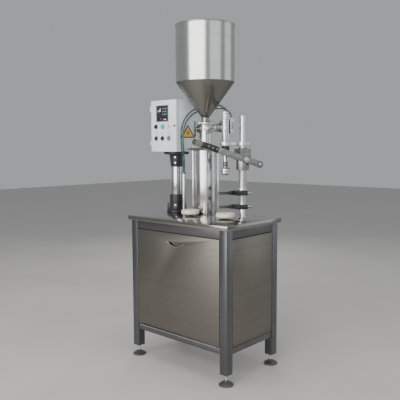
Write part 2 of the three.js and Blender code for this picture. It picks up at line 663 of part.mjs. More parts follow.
// ---- nozzle ----
function buildNozzle() {
  const nozzle = tableGroup(NOZZLE_X, NOZZLE_Y, outletTurn);
  const stemSlide = STEM_RADIUS + RUN_GAP;
  const chamberTop = NOZZLE_HEAD_TOP - OUTLET_WALL;
  const body = uprightBar(NOZZLE_HEAD_RADIUS, NOZZLE_HEAD_BOTTOM, NOZZLE_HEAD_TOP);
  const inlet = barAlongX(OUTLET_RADIUS, -NOZZLE_INLET, 0, 0, VALVE_AXIS_HEIGHT);
  const inletFace = -NOZZLE_INLET + OUTLET_FLANGE_THICK;
  const flange = barAlongX(OUTLET_FLANGE_RADIUS, -NOZZLE_INLET, inletFace, 0, VALVE_AXIS_HEIGHT);
  const chamber = uprightBar(stemSlide + PAST, NOZZLE_HEAD_BOTTOM - PAST, chamberTop);
  const pinHole = uprightBar(PIN_RADIUS + RUN_GAP, NOZZLE_HEAD_BOTTOM, NOZZLE_HEAD_TOP + PAST, 0, 0, COARSE);
  const inletBore = barAlongX(OUTLET_RADIUS - OUTLET_WALL, -NOZZLE_INLET - PAST, 0, 0, VALVE_AXIS_HEIGHT);
  add(nozzle, "nozzle_head", "polished", cut(join(body, inlet, flange), chamber, pinHole, inletBore));

  const glandTop = NOZZLE_HEAD_BOTTOM - SEAT_GAP;
  add(nozzle, "nozzle_gland", "black", pipe(GLAND_RADIUS, stemSlide, glandTop - GLAND_HEIGHT, glandTop));

  const tipTop = TIP_BOTTOM + TIP_HEIGHT;
  const ringBottom = tipTop + TIP_CHAMFER;
  const ringTop = ringBottom + STEM_RING_HEIGHT;
  add(nozzle, "nozzle_tube", "polished", turned([
    [STEM_BORE_RADIUS, TIP_BOTTOM],
    [TIP_RADIUS - TIP_CHAMFER, TIP_BOTTOM],
    [TIP_RADIUS, TIP_BOTTOM + TIP_CHAMFER],
    [TIP_RADIUS, tipTop - TIP_CHAMFER],
    [TIP_RADIUS - TIP_CHAMFER, tipTop],
    [STEM_RADIUS, tipTop],
    [STEM_RADIUS, ringBottom],
    [STEM_RING_RADIUS, ringBottom],
    [STEM_RING_RADIUS, ringTop],
    [STEM_RADIUS, ringTop],
    [STEM_RADIUS, STEM_TOP],
    [STEM_BORE_RADIUS, STEM_TOP],
    [STEM_BORE_RADIUS, TIP_BOTTOM],
  ]));

  const actuatorBottom = NOZZLE_HEAD_TOP + SEAT_GAP;
  const actuatorTop = actuatorBottom + ACTUATOR_HEIGHT;
  const shell = uprightBar(ACTUATOR_RADIUS, actuatorBottom, actuatorTop);
  const roomRadius = ACTUATOR_RADIUS - ACTUATOR_WALL;
  const room = uprightBar(roomRadius, actuatorBottom + ACTUATOR_WALL, actuatorTop - ACTUATOR_WALL);
  const plateUpper = actuatorBottom + PILOT_PLATE;
  const rodHole = uprightBar(PIN_RADIUS + RUN_GAP, actuatorBottom - PAST, plateUpper, 0, 0, COARSE);
  const pilotNear = NOZZLE_HEAD_RADIUS + 1;
  const pilotAcross = [-PILOT_WIDTH / 2, PILOT_WIDTH / 2];
  const pilotOut = [pilotNear, pilotNear + PILOT_DEPTH];
  const pilot = block(pilotAcross, pilotOut, [actuatorBottom - PILOT_DROP, actuatorBottom + PILOT_PLATE]);
  const bracket = block(pilotAcross, [0, pilotNear + PAST], [actuatorBottom, actuatorBottom + PILOT_PLATE]);
  add(nozzle, "nozzle_air_cylinder", "paint", cut(join(shell, bracket, pilot), room, rodHole));

  const discBottom = actuatorBottom + ACTUATOR_WALL + PAST;
  const discRadius = ACTUATOR_RADIUS - ACTUATOR_WALL - RUN_GAP;
  add(nozzle, "shutoff_pin", "polished", turned([
    [0, TIP_BOTTOM + PAST],
    [PIN_RADIUS, TIP_BOTTOM + PAST],
    [PIN_RADIUS, discBottom],
    [discRadius, discBottom],
    [discRadius, discBottom + PIN_DISC_HEIGHT],
    [0, discBottom + PIN_DISC_HEIGHT],
  ], COARSE));
}

// ---- column, lever and guides ----
const columnTurn = Math.atan2(NOZZLE_Y - COLUMN_Y, NOZZLE_X - COLUMN_X);
const columnDistance = Math.hypot(NOZZLE_X - COLUMN_X, NOZZLE_Y - COLUMN_Y);
const columnSeat = COLUMN_RADIUS + SEAT_GAP;
const columnSlide = COLUMN_RADIUS + RUN_GAP;
const leverSide = SLEEVE_RADIUS + 2 * SEAT_GAP;

/** A shape laid along X from the lever's axis, tipped up to the lever's rise. */
function onLever(geometry) {
  const middle = leverSide + LEVER_THICK / 2;
  return geometry.rotateY(-LEVER_RISE).translate(0, middle, LEVER_AXIS_HEIGHT);
}

function leverShape() {
  const halfHeight = LEVER_HEIGHT / 2;
  const halfThick = LEVER_THICK / 2;
  const reach = [-LEVER_TAIL, LEVER_REACH];
  const bar = onLever(block(reach, [-halfThick, halfThick], [-halfHeight, halfHeight]));
  const tail = onLever(barAlongY(LEVER_TAIL_RADIUS, -halfThick, halfThick, -LEVER_TAIL, 0, COARSE));
  const yokeTop = NOZZLE_HEAD_BOTTOM - GLAND_HEIGHT - YOKE_DROP;
  const yokeBottom = yokeTop - YOKE_HEIGHT;
  const ring = uprightBar(YOKE_RADIUS, yokeBottom, yokeTop, columnDistance, 0);
  const acrossX = [columnDistance - YOKE_RADIUS, columnDistance + YOKE_RADIUS];
  const arm = block(acrossX, [0, leverSide + PAST], [yokeBottom, yokeTop]);
  const hole = uprightBar(STEM_RADIUS + SEAT_GAP, yokeBottom - PAST, yokeTop + PAST, columnDistance, 0);
  return cut(join(bar, tail, ring, arm), hole);
}

function gripShape() {
  const start = LEVER_REACH + SEAT_GAP;
  const end = start + HOLDER_LENGTH;
  const halfThick = HOLDER_THICK / 2;
  const halfHeight = LEVER_HEIGHT / 2;
  const holder = onLever(block([start, end], [-halfThick, halfThick], [-halfHeight, halfHeight]));
  const grip = onLever(barAlongX(GRIP_RADIUS, end - PAST, end + GRIP_LENGTH, 0, 0));
  return join(holder, grip);
}

/** A guide clamp about the column with its side rod and its locking stub. */
function guideShape() {
  const back = -COLUMN_RADIUS - GUIDE_BACK_WALL;
  const bodyX = [back, GUIDE_LENGTH];
  const half = COLUMN_RADIUS + GUIDE_SIDE_WALL;
  const body = block(bodyX, [-GUIDE_ROD_OFFSET - GUIDE_ROD_RADIUS, half], [0, GUIDE_HEIGHT]);
  const hole = uprightBar(columnSlide, -PAST, GUIDE_HEIGHT + PAST, 0, 0);
  const middle = GUIDE_HEIGHT / 2;
  const rodX = [GUIDE_LENGTH - PAST, GUIDE_ROD_REACH];
  const rod = barAlongX(GUIDE_ROD_RADIUS, ...rodX, -GUIDE_ROD_OFFSET, middle, COARSE);
  const stub = barAlongX(GUIDE_STUB_RADIUS, -GUIDE_STUB_REACH, back + PAST, 0, middle, COARSE);
  return cut(join(body, rod, stub), hole);
}

function buildColumn() {
  const column = tableGroup(COLUMN_X, COLUMN_Y, columnTurn);
  const stopTop = STOP_RING_BOTTOM + STOP_RING_HEIGHT;
  add(column, "column_rod", "polished", turned([
    [0, SEAT_GAP],
    [COLUMN_RING_RADIUS, SEAT_GAP],
    [COLUMN_RING_RADIUS, COLUMN_RING_HEIGHT],
    [COLUMN_RADIUS, COLUMN_RING_HEIGHT],
    [COLUMN_RADIUS, STOP_RING_BOTTOM],
    [STOP_RING_RADIUS, STOP_RING_BOTTOM],
    [STOP_RING_RADIUS, stopTop],
    [COLUMN_RADIUS, stopTop],
    [COLUMN_RADIUS, COLUMN_HEIGHT - COLUMN_CHAMFER],
    [COLUMN_RADIUS - COLUMN_CHAMFER, COLUMN_HEIGHT],
    [0, COLUMN_HEIGHT],
  ]));

  const clampTop = TOP_CLAMP_BOTTOM + TOP_CLAMP_HEIGHT;
  const halfWidth = TOP_CLAMP_WIDTH / 2;
  const glandSeat = GLAND_RADIUS + SEAT_GAP;
  const glandRing = glandSeat + CLAMP_RING_WALL;
  const clampReach = [-TOP_CLAMP_STUB, columnDistance];
  const clampBar = block(clampReach, [-halfWidth, halfWidth], [TOP_CLAMP_BOTTOM, clampTop]);
  const columnRing = uprightBar(columnSeat + CLAMP_RING_WALL, TOP_CLAMP_BOTTOM, clampTop);
  const nozzleRing = uprightBar(glandRing, TOP_CLAMP_BOTTOM, clampTop, columnDistance, 0);
  const columnHole = uprightBar(columnSeat, TOP_CLAMP_BOTTOM - PAST, clampTop + PAST);
  const glandHole = uprightBar(glandSeat, TOP_CLAMP_BOTTOM - PAST, clampTop + PAST, columnDistance, 0);
  const topClamp = cut(join(clampBar, columnRing, nozzleRing), columnHole, glandHole);
  add(column, "top_clamp", "polished", topClamp);

  const sleeveBottom = CARRIAGE_BOTTOM - SLEEVE_HEIGHT;
  const blockTop = CARRIAGE_BOTTOM + CARRIAGE_HEIGHT;
  const slideBlock = centredBlock(CARRIAGE_SIDE, CARRIAGE_SIDE, CARRIAGE_BOTTOM, blockTop);
  const sleeve = uprightBar(SLEEVE_RADIUS, sleeveBottom, CARRIAGE_BOTTOM + PAST);
  const slideHole = uprightBar(columnSlide, sleeveBottom - PAST, blockTop + PAST);
  add(column, "carriage_block", "frame", cut(join(slideBlock, sleeve), slideHole));
  add(column, "lever_arm", "frame", leverShape());
  add(column, "lever_grip", "dark", gripShape());

  const springBottom = stopTop + SEAT_GAP;
  const springTop = sleeveBottom - SEAT_GAP;
  add(column, "return_spring", "polished", pipe(SPRING_OUTER, SPRING_INNER, springBottom, springTop));
  add(column, "upper_guide", "dark", guideShape(), [0, 0, UPPER_GUIDE_BOTTOM]);
  add(column, "lower_guide", "dark", guideShape(), [0, 0, LOWER_GUIDE_BOTTOM]);
}

// ---- rest discs ----
function discShape() {
  const top = DISC_BOTTOM + DISC_THICK;
  return turned([
    [0, SEAT_GAP],
    [DISC_FOOT_RADIUS, SEAT_GAP],
    [DISC_STUD_RADIUS, DISC_BOTTOM * 0.7],
    [DISC_STUD_RADIUS, DISC_BOTTOM],
    [DISC_RADIUS - DISC_ROUND, DISC_BOTTOM],
    [DISC_RADIUS, DISC_BOTTOM + DISC_ROUND],
    [DISC_RADIUS, top - DISC_ROUND],
    [DISC_RADIUS - DISC_ROUND, top],
    [0, top],
  ], FINE);
}

function buildDiscs() {
  add(tableGroup(LEFT_DISC_X, LEFT_DISC_Y), "rest_disc_left", "cream", discShape());
  add(tableGroup(NOZZLE_X, NOZZLE_Y), "rest_disc_right", "cream", discShape());
}

// ---- pedestal, enclosure and controls ----
const boxBottom = PEDESTAL_HEAD_TOP + SEAT_GAP;
const boxTop = boxBottom + BOX_HEIGHT;
const boxMiddleHeight = (boxBottom + boxTop) / 2;
const boxX = [BOX_SHIFT_X - BOX_WIDTH / 2, BOX_SHIFT_X + BOX_WIDTH / 2];
const doorFront = BOX_FRONT - BOX_DOOR_DEPTH;

function buildPedestal() {
  const pedestal = tableGroup(PEDESTAL_X, PEDESTAL_Y);
  add(pedestal, "pedestal_base", "black", turned([
    [CABLE_BORE_RADIUS, SEAT_GAP],
    [PEDESTAL_FLANGE_RADIUS, SEAT_GAP],
    [PEDESTAL_FLANGE_RADIUS, PEDESTAL_FLANGE_HEIGHT],
    [PEDESTAL_BASE_RADIUS, PEDESTAL_FLANGE_HEIGHT * 2],
    [PEDESTAL_BASE_RADIUS, PEDESTAL_BASE_HEIGHT],
    [CABLE_BORE_RADIUS, PEDESTAL_BASE_HEIGHT],
    [CABLE_BORE_RADIUS, SEAT_GAP],
  ]));
  const tubeInner = PEDESTAL_TUBE_RADIUS - PEDESTAL_TUBE_WALL;
  const tubeBottom = PEDESTAL_BASE_HEIGHT + SEAT_GAP;
  const tube = pipe(PEDESTAL_TUBE_RADIUS, tubeInner, tubeBottom, PEDESTAL_TUBE_TOP);
  add(pedestal, "pedestal_tube", "frame", tube);
  const headBottom = PEDESTAL_TUBE_TOP + SEAT_GAP;
  const headFlange = PEDESTAL_HEAD_TOP - PEDESTAL_HEAD_FLANGE;
  add(pedestal, "pedestal_head", "black", turned([
    [CABLE_BORE_RADIUS, headBottom],
    [PEDESTAL_HEAD_LOW_RADIUS, headBottom],
    [PEDESTAL_HEAD_HIGH_RADIUS, headFlange],
    [PEDESTAL_HEAD_FLANGE_RADIUS, headFlange],
    [PEDESTAL_HEAD_FLANGE_RADIUS, PEDESTAL_HEAD_TOP],
    [CABLE_BORE_RADIUS, PEDESTAL_HEAD_TOP],
    [CABLE_BORE_RADIUS, headBottom],
  ]));

  const boxY = [BOX_FRONT + SEAT_GAP, BOX_FRONT + BOX_DEPTH];
  const shell = trayAlongY(boxX, boxY, [boxBottom, boxTop], BOX_WALL, true);
  const cableHole = uprightBar(CABLE_BORE_RADIUS, boxBottom - PAST, boxBottom + BOX_WALL + PAST);
  add(pedestal, "enclosure_body", "paint", cut(shell, cableHole));

  const doorTray = trayAlongY(boxX, [doorFront, BOX_FRONT], [boxBottom, boxTop], BOX_WALL, false);
  const holes = [];
  const ridgeWidth = [-SELECTOR_RIDGE_HALF, SELECTOR_RIDGE_HALF];
  const controls = {
    selector_switch: ["black", 0, 0],
    lit_button: ["teal", 1, 0],
    black_button_left: ["black", 0, 1],
    black_button_middle: ["black", 1, 1],
    green_button: ["green", 2, 1],
  };
  for (const [name, [finish, column, row]] of Object.entries(controls)) {
    const x = BOX_SHIFT_X + CONTROL_COLUMNS[column];
    const z = boxMiddleHeight + CONTROL_ROWS[row];
    const holeY = [doorFront - PAST, doorFront + BOX_WALL + PAST];
    holes.push(barAlongY(BUTTON_RADIUS + RUN_GAP, ...holeY, x, z, COARSE));
    const cap = barAlongY(BUTTON_RADIUS, -BUTTON_PROUD, BUTTON_LENGTH - BUTTON_PROUD, 0, 0, COARSE);
    const ridge = block(ridgeWidth, [-2 * BUTTON_PROUD, 0], [-BUTTON_RADIUS, BUTTON_RADIUS]);
    const shape = name === "selector_switch" ? join(cap, ridge) : cap;
    add(pedestal, name, finish, shape, [x, doorFront, z]);
  }
  add(pedestal, "enclosure_door", "paint", cut(doorTray, ...holes));
}

// ---- air line ----
// Each hose leaves the top of the conduit, climbs between the enclosure and the cone, goes round
// behind the hopper's neck and comes down on the nozzle's air cylinder. Heights are above the table.
const HOSE_ROUTES = {
  air_hose_a: [
    [-189.5, 35, 252],
    [-189, 33, 300],
    [-187, 22, 378],
    [-185, 14, 440],
    [-185, 14, 495],
    [-185, 32, 545],
    [-182, 58, 584],
    [-174, 90, 614],
    [-158, 124, 634],
    [-134, 160, 644],
    [-100, 186, 648],
    [-58, 192, 649],
    [-16, 178, 647],
    [24, 144, 643],
    [56, 100, 636],
    [92, 68, 628],
    [128, 40, 619],
    [158, 14, 615],
    [177, -6, 610],
    [185, -16.8, 602],
    [185, -17, 591.5],
  ],
  air_hose_b: [
    [-180.5, 35, 252],
    [-177, 33, 300],
    [-174, 24, 378],
    [-172, 18, 440],
    [-171, 20, 495],
    [-170, 38, 540],
    [-167, 62, 572],
    [-160, 90, 597],
    [-146, 120, 614],
    [-126, 154, 624],
    [-96, 175, 629],
    [-58, 180, 630],
    [-20, 166, 629],
    [18, 134, 626],
    [56, 92, 622],
    [94, 68, 617],
    [132, 48, 609],
    [166, 32, 597],
    [190, 20, 582],
    [200, 15.5, 568],
    [201, 15.3, 557.2],
  ],
};

function hoseShape(points) {
  const curve = new THREE.CatmullRomCurve3(points.map((point) => new THREE.Vector3(...point)));
  const section = new THREE.Shape();
  section.absarc(0, 0, HOSE_RADIUS, 0, 2 * Math.PI, false);
  const options = { steps: HOSE_STEPS, extrudePath: curve, curveSegments: HOSE_SIDES };
  return new THREE.ExtrudeGeometry(section, options);
}

function buildAirLine() {
  const line = tableGroup(CONDUIT_X, CONDUIT_Y);
  const conduit = pipe(CONDUIT_RADIUS, CONDUIT_BORE_RADIUS, SEAT_GAP, CONDUIT_HEIGHT, COARSE);
  add(line, "air_conduit", "polished", conduit);
  for (const [name, points] of Object.entries(HOSE_ROUTES)) {
    add(tableGroup(0, 0), name, "hose", hoseShape(points));
  }
}

buildCabinet();
buildDosingCylinder();
buildValveAndHopper();
buildNozzle();
buildColumn();
buildDiscs();
buildPedestal();
buildAirLine();

// The middle of the footprint, on the floor, becomes the origin.
const extent = new THREE.Box3().setFromObject(machine, true);
const middle = extent.getCenter(new THREE.Vector3());
machine.position.set(-middle.x, -middle.y, -extent.min.z);

export default machine;
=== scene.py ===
"""Blender scene of a piston liquid filler on a legged steel cabinet.

Every sub-assembly is a class that holds its sizes in millimetres about its own upright axis. A Site,
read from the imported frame, says where each axis stands, so each piece lands where its solid does.
"""
import logging
import math
from collections.abc import Sequence
from dataclasses import dataclass, field
from enum import Enum

import bmesh
import bpy
from mathutils import Matrix, Vector


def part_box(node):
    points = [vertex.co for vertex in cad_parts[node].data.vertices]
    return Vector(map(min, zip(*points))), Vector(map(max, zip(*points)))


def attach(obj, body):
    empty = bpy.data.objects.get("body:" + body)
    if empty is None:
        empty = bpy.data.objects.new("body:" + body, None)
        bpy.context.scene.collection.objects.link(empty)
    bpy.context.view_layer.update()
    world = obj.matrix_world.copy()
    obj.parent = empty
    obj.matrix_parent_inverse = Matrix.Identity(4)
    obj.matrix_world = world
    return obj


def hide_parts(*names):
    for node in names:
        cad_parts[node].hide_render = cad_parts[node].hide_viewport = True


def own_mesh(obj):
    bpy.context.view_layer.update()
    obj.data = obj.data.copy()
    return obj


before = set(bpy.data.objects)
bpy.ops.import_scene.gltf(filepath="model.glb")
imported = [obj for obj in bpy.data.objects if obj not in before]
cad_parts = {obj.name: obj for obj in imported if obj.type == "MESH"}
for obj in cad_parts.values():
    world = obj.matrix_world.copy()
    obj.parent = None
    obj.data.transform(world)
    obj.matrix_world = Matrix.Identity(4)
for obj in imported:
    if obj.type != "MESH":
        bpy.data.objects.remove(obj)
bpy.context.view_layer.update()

LOG = logging.getLogger("filler")
MM = 0.001
ROUND_SIDES = 96
ON_AXIS = 1e-6
PARALLEL = 1e-9
WELD_GAP = 1e-5
BEVEL_ANGLE = math.radians(30)
FLAT_ANGLE = math.radians(1)
FINE_SIDES = 160
SHARP_ANGLE = math.radians(35)

Rgb = tuple[float, float, float]
Point = tuple[float, float, float]
Outline = list[tuple[float, float]]


# ---- node trees ----
class Tree:
    """Adds and links nodes in one node tree."""

    def __init__(self, tree: bpy.types.NodeTree) -> None:
        """Keeps the tree and starts it empty."""
        self.tree = tree
        tree.nodes.clear()

    def add(self, kind: str, settings: dict | None = None, inputs: dict | None = None) -> bpy.types.Node:
        """Adds a node.

        Args:
            kind: Blender's name for the kind of node.
            settings: the node's own properties.
            inputs: a value or another node's output for each named or numbered input.

        Returns:
            The new node.
        """
        node = self.tree.nodes.new(kind)
        for key, value in (settings or {}).items():
            setattr(node, key, value)
        for key, value in (inputs or {}).items():
            if isinstance(value, bpy.types.NodeSocket):
                self.tree.links.new(value, node.inputs[key])
            else:
                node.inputs[key].default_value = value
        return node

    def socket(self, name: str, kind: str, leaves: bool = False, value: object = None) -> None:
        """Adds a named socket to a group tree.

        Args:
            name: the socket's name.
            kind: Blender's name for the kind of socket.
            leaves: True for an output.
            value: the input's value where none is given.
        """
        side = "OUTPUT" if leaves else "INPUT"
        made = self.tree.interface.new_socket(name=name, in_out=side, socket_type=kind)
        if value is not None:
            made.default_value = value


def opaque(colour: Rgb) -> tuple[float, float, float, float]:
    """A colour with full alpha."""
    return (*colour, 1.0)


def steel_grain_group() -> bpy.types.ShaderNodeTree:
    """Drawn or brushed metal: streaks along the grain with handling marks over them.

    Returns:
        The shader node group, with Color, Roughness and Normal outputs.
    """
    group = bpy.data.node_groups.new("Steel grain", "ShaderNodeTree")
    tree = Tree(group)
    tree.socket("Vector", "NodeSocketVector")
    tree.socket("Grain", "NodeSocketVector", value=(20.0, 20.0, 1500.0))
    tree.socket("Streaks", "NodeSocketVector", value=(2.0, 2.0, 90.0))
    tree.socket("Smudges", "NodeSocketFloat", value=5.0)
    tree.socket("Dark", "NodeSocketColor")
    tree.socket("Light", "NodeSocketColor")
    tree.socket("Smooth", "NodeSocketFloat", value=0.2)
    tree.socket("Rough", "NodeSocketFloat", value=0.35)
    tree.socket("Relief", "NodeSocketFloat", value=0.1)
    tree.socket("Color", "NodeSocketColor", leaves=True)
    tree.socket("Roughness", "NodeSocketFloat", leaves=True)
    tree.socket("Normal", "NodeSocketVector", leaves=True)
    start = tree.add("NodeGroupInput").outputs
    fine_place = tree.add("ShaderNodeMapping", inputs={"Vector": start["Vector"], "Scale": start["Grain"]})
    wide_place = tree.add("ShaderNodeMapping", inputs={"Vector": start["Vector"], "Scale": start["Streaks"]})
    fine = tree.add("ShaderNodeTexNoise", inputs={
        "Vector": fine_place.outputs[0], "Scale": 1.0, "Detail": 4.0})
    wide = tree.add("ShaderNodeTexNoise", inputs={
        "Vector": wide_place.outputs[0], "Scale": 1.0, "Detail": 3.0})
    marks = tree.add("ShaderNodeTexNoise", inputs={
        "Vector": start["Vector"], "Scale": start["Smudges"], "Detail": 5.0, "Roughness": 0.62})
    streaks = tree.add("ShaderNodeMix", {"data_type": "FLOAT"}, {
        0: 0.6, 2: fine.outputs["Fac"], 3: wide.outputs["Fac"]})
    worn = tree.add("ShaderNodeMix", {"data_type": "FLOAT"}, {
        0: 0.45, 2: streaks.outputs[0], 3: marks.outputs["Fac"]})
    spread = tree.add("ShaderNodeMapRange", inputs={
        "Value": worn.outputs[0], "From Min": 0.36, "From Max": 0.64})
    tint = tree.add("ShaderNodeMix", {"data_type": "RGBA"}, {
        0: spread.outputs[0], 6: start["Dark"], 7: start["Light"]})
    gloss = tree.add("ShaderNodeMapRange", inputs={
        "Value": spread.outputs[0], "To Min": start["Rough"], "To Max": start["Smooth"]})
    bump = tree.add("ShaderNodeBump", inputs={
        "Height": fine.outputs["Fac"], "Strength": start["Relief"], "Distance": 0.0002})
    tree.add("NodeGroupOutput", inputs={
        "Color": tint.outputs[2], "Roughness": gloss.outputs[0], "Normal": bump.outputs[0]})
    return group


def moulded_skin_group() -> bpy.types.ShaderNodeTree:
    """Moulded, cast or sprayed skin: a fine even texture under faint dust and wear.

    Returns:
        The shader node group, with Color, Roughness and Normal outputs.
    """
    group = bpy.data.node_groups.new("Moulded skin", "ShaderNodeTree")
    tree = Tree(group)
    tree.socket("Vector", "NodeSocketVector")
    tree.socket("Dark", "NodeSocketColor")
    tree.socket("Light", "NodeSocketColor")
    tree.socket("Skin", "NodeSocketFloat", value=900.0)
    tree.socket("Wear", "NodeSocketFloat", value=14.0)
    tree.socket("Smooth", "NodeSocketFloat", value=0.3)
    tree.socket("Rough", "NodeSocketFloat", value=0.5)
    tree.socket("Relief", "NodeSocketFloat", value=0.1)
    tree.socket("Color", "NodeSocketColor", leaves=True)
    tree.socket("Roughness", "NodeSocketFloat", leaves=True)
    tree.socket("Normal", "NodeSocketVector", leaves=True)
    start = tree.add("NodeGroupInput").outputs
    skin = tree.add("ShaderNodeTexNoise", inputs={
        "Vector": start["Vector"], "Scale": start["Skin"], "Detail": 2.0})
    wear = tree.add("ShaderNodeTexNoise", inputs={
        "Vector": start["Vector"], "Scale": start["Wear"], "Detail": 6.0, "Roughness": 0.6})
    spread = tree.add("ShaderNodeMapRange", inputs={
        "Value": wear.outputs["Fac"], "From Min": 0.35, "From Max": 0.65})
    tint = tree.add("ShaderNodeMix", {"data_type": "RGBA"}, {
        0: spread.outputs[0], 6: start["Dark"], 7: start["Light"]})
    gloss = tree.add("ShaderNodeMapRange", inputs={
        "Value": spread.outputs[0], "To Min": start["Smooth"], "To Max": start["Rough"]})
    bump = tree.add("ShaderNodeBump", inputs={
        "Height": skin.outputs["Fac"], "Strength": start["Relief"], "Distance": 0.0003})
    tree.add("NodeGroupOutput", inputs={
        "Color": tint.outputs[2], "Roughness": gloss.outputs[0], "Normal": bump.outputs[0]})
    return group


# ---- finishes ----
class Grain(Enum):
    """The way a metal's grain runs: noise is drawn out along it and packed across it."""

    LEVEL = (1.0, 1.0, 60.0)
    UPRIGHT = (60.0, 60.0, 1.0)
    ALONG_X = (1.0, 60.0, 60.0)
    EVEN = (20.0, 20.0, 20.0)


def dressed(name: str, group: bpy.types.ShaderNodeTree, values: dict, constants: dict) -> bpy.types.Material:
    """A material that one shader group feeds.

    Args:
        name: the material's name.
        group: the node group that gives Color, Roughness and Normal.
        values: the group's inputs.
        constants: inputs of the Principled shader that are the same all over.

    Returns:
        The new material.
    """
    material = bpy.data.materials.new(name)
    material.use_nodes = True
    tree = Tree(material.node_tree)
    place = tree.add("ShaderNodeTexCoord")
    pattern = tree.add("ShaderNodeGroup", {"node_tree": group}, {"Vector": place.outputs["Object"], **values})
    shader = tree.add("ShaderNodeBsdfPrincipled", inputs={
        "Base Color": pattern.outputs["Color"],
        "Roughness": pattern.outputs["Roughness"],
        "Normal": pattern.outputs["Normal"],
        **constants,
    })
    if constants.get("Emission Strength"):
        tree.tree.links.new(pattern.outputs["Color"], shader.inputs["Emission Color"])
    tree.add("ShaderNodeOutputMaterial", inputs={"Surface": shader.outputs[0]})
    return material


class Shop:
    """The shader groups, built once, and the materials already made."""

    def __init__(self) -> None:
        """Builds the two groups."""
        self.grain = steel_grain_group()
        self.skin = moulded_skin_group()
        self.made: dict[str, bpy.types.Material] = {}


@dataclass(frozen=True)
class Steel:
    """A metal finish."""

    name: str
    dark: Rgb
    light: Rgb
    grain: Grain = Grain.LEVEL
    smooth: float = 0.2
    rough: float = 0.34
    relief: float = 0.04
    fine: float = 25.0
    streak: float = 1.5
    smudges: float = 6.0

    def material(self, shop: Shop) -> bpy.types.Material:
        """The finish as a material, made on first use."""
        if self.name not in shop.made:
            run = self.grain.value
            values = {
                "Grain": [self.fine * part for part in run],
                "Streaks": [self.streak * part for part in run],
                "Smudges": self.smudges,
                "Dark": opaque(self.dark),
                "Light": opaque(self.light),
                "Smooth": self.smooth,
                "Rough": self.rough,
                "Relief": self.relief,
            }
            shop.made[self.name] = dressed(self.name, shop.grain, values, {"Metallic": 1.0})
        return shop.made[self.name]


@dataclass(frozen=True)
class Moulding:
    """A moulded, painted or cast finish without bare metal."""

    name: str
    dark: Rgb
    light: Rgb
    smooth: float = 0.35
    rough: float = 0.5
    relief: float = 0.1
    skin: float = 900.0
    wear: float = 14.0
    glow: float = 0.0
    coat: float = 0.0

    def material(self, shop: Shop) -> bpy.types.Material:
        """The finish as a material, made on first use."""
        if self.name not in shop.made:
            values = {
                "Dark": opaque(self.dark),
                "Light": opaque(self.light),
                "Skin": self.skin,
                "Wear": self.wear,
                "Smooth": self.smooth,
                "Rough": self.rough,
                "Relief": self.relief,
            }
            constants = {"Emission Strength": self.glow, "Coat Weight": self.coat}
            shop.made[self.name] = dressed(self.name, shop.skin, values, constants)
        return shop.made[self.name]


Finish = Steel | Moulding

FRAME_STEEL = Steel(
    "Frame tube steel", (0.126, 0.127, 0.136), (0.170, 0.171, 0.182), Grain.UPRIGHT, 0.3, 0.42)
RAIL_STEEL = Steel("Rail steel", (0.128, 0.126, 0.128), (0.182, 0.180, 0.182), Grain.ALONG_X, 0.3, 0.42)
SHEET_STEEL = Steel(
    "Brushed sheet steel", (0.176, 0.164, 0.144), (0.218, 0.204, 0.181), Grain.LEVEL, 0.36, 0.46,
    streak=0.6, smudges=2.0)
TABLE_STEEL = Steel(
    "Polished table steel", (0.275, 0.262, 0.235), (0.345, 0.33, 0.30), Grain.ALONG_X, 0.12, 0.22,
    relief=0.02)
BRIGHT_STEEL = Steel(
    "Bright turned steel", (0.56, 0.56, 0.57), (0.68, 0.68, 0.68), Grain.LEVEL, 0.16, 0.26, relief=0.02)
CYLINDER_STEEL = Steel(
    "Polished cylinder steel", (0.54, 0.53, 0.54), (0.63, 0.62, 0.62), Grain.LEVEL, 0.12, 0.18, relief=0.01)
HOPPER_STEEL = Steel(
    "Rolled hopper steel", (0.49, 0.50, 0.485), (0.57, 0.58, 0.56), Grain.LEVEL, 0.18, 0.26, relief=0.02,
    streak=0.6, smudges=2.5)
# Spun cone steel made darker than the hopper shell's steel: painted shade for the cone's downward-facing
# side.
CONE_STEEL_PAINTED_SHADE = Steel(
    "Spun cone steel with painted shade", (0.205, 0.20, 0.182), (0.262, 0.256, 0.234), Grain.LEVEL, 0.24, 0.34, relief=0.03,
    streak=0.6, smudges=2.5)
MACHINED_STEEL = Steel(
    "Machined steel", (0.20, 0.197, 0.192), (0.30, 0.295, 0.285), Grain.EVEN, 0.3, 0.42, smudges=30.0)
CAST_ALUMINIUM = Steel(
    "Satin cast aluminium", (0.60, 0.63, 0.66), (0.78, 0.80, 0.82), Grain.EVEN, 0.34, 0.5, smudges=40.0)
DRIVE_ALUMINIUM = Steel("Anodised aluminium", (0.62, 0.62, 0.64), (0.74, 0.74, 0.76), Grain.UPRIGHT, 0.3, 0.4)
DARK_STEEL = Steel("Blackened steel", (0.10, 0.105, 0.11), (0.21, 0.215, 0.225), Grain.LEVEL, 0.3, 0.45)
BLACK_FITTING = Moulding("Black moulded fitting", (0.011, 0.011, 0.015), (0.030, 0.030, 0.036), 0.3, 0.48)
FOOT_NYLON = Moulding("Foot pad nylon", (0.035, 0.037, 0.030), (0.085, 0.087, 0.072), 0.38, 0.55)
GRIP_PLASTIC = Moulding("Grey-brown grip", (0.15, 0.138, 0.11), (0.23, 0.215, 0.18), 0.4, 0.6, relief=0.25)
GRIP_CAP = Moulding("Dark green end cap", (0.012, 0.045, 0.028), (0.03, 0.09, 0.06), 0.3, 0.45)
CREAM_PLASTIC = Moulding(
    "Natural cast plastic", (0.70, 0.66, 0.50), (0.86, 0.83, 0.70), 0.36, 0.52, wear=30.0)
CABINET_PAINT = Moulding(
    "Light grey powder coat", (0.73, 0.79, 0.81), (0.81, 0.87, 0.89), 0.42, 0.56, relief=0.3, skin=700.0,
    wear=5.0)
SIGN_YELLOW = Moulding("Yellow sign film", (0.80, 0.47, 0.06), (0.90, 0.56, 0.09), 0.3, 0.45)
SIGN_BLACK = Moulding("Black sign border", (0.015, 0.015, 0.012), (0.035, 0.035, 0.03), 0.35, 0.5)
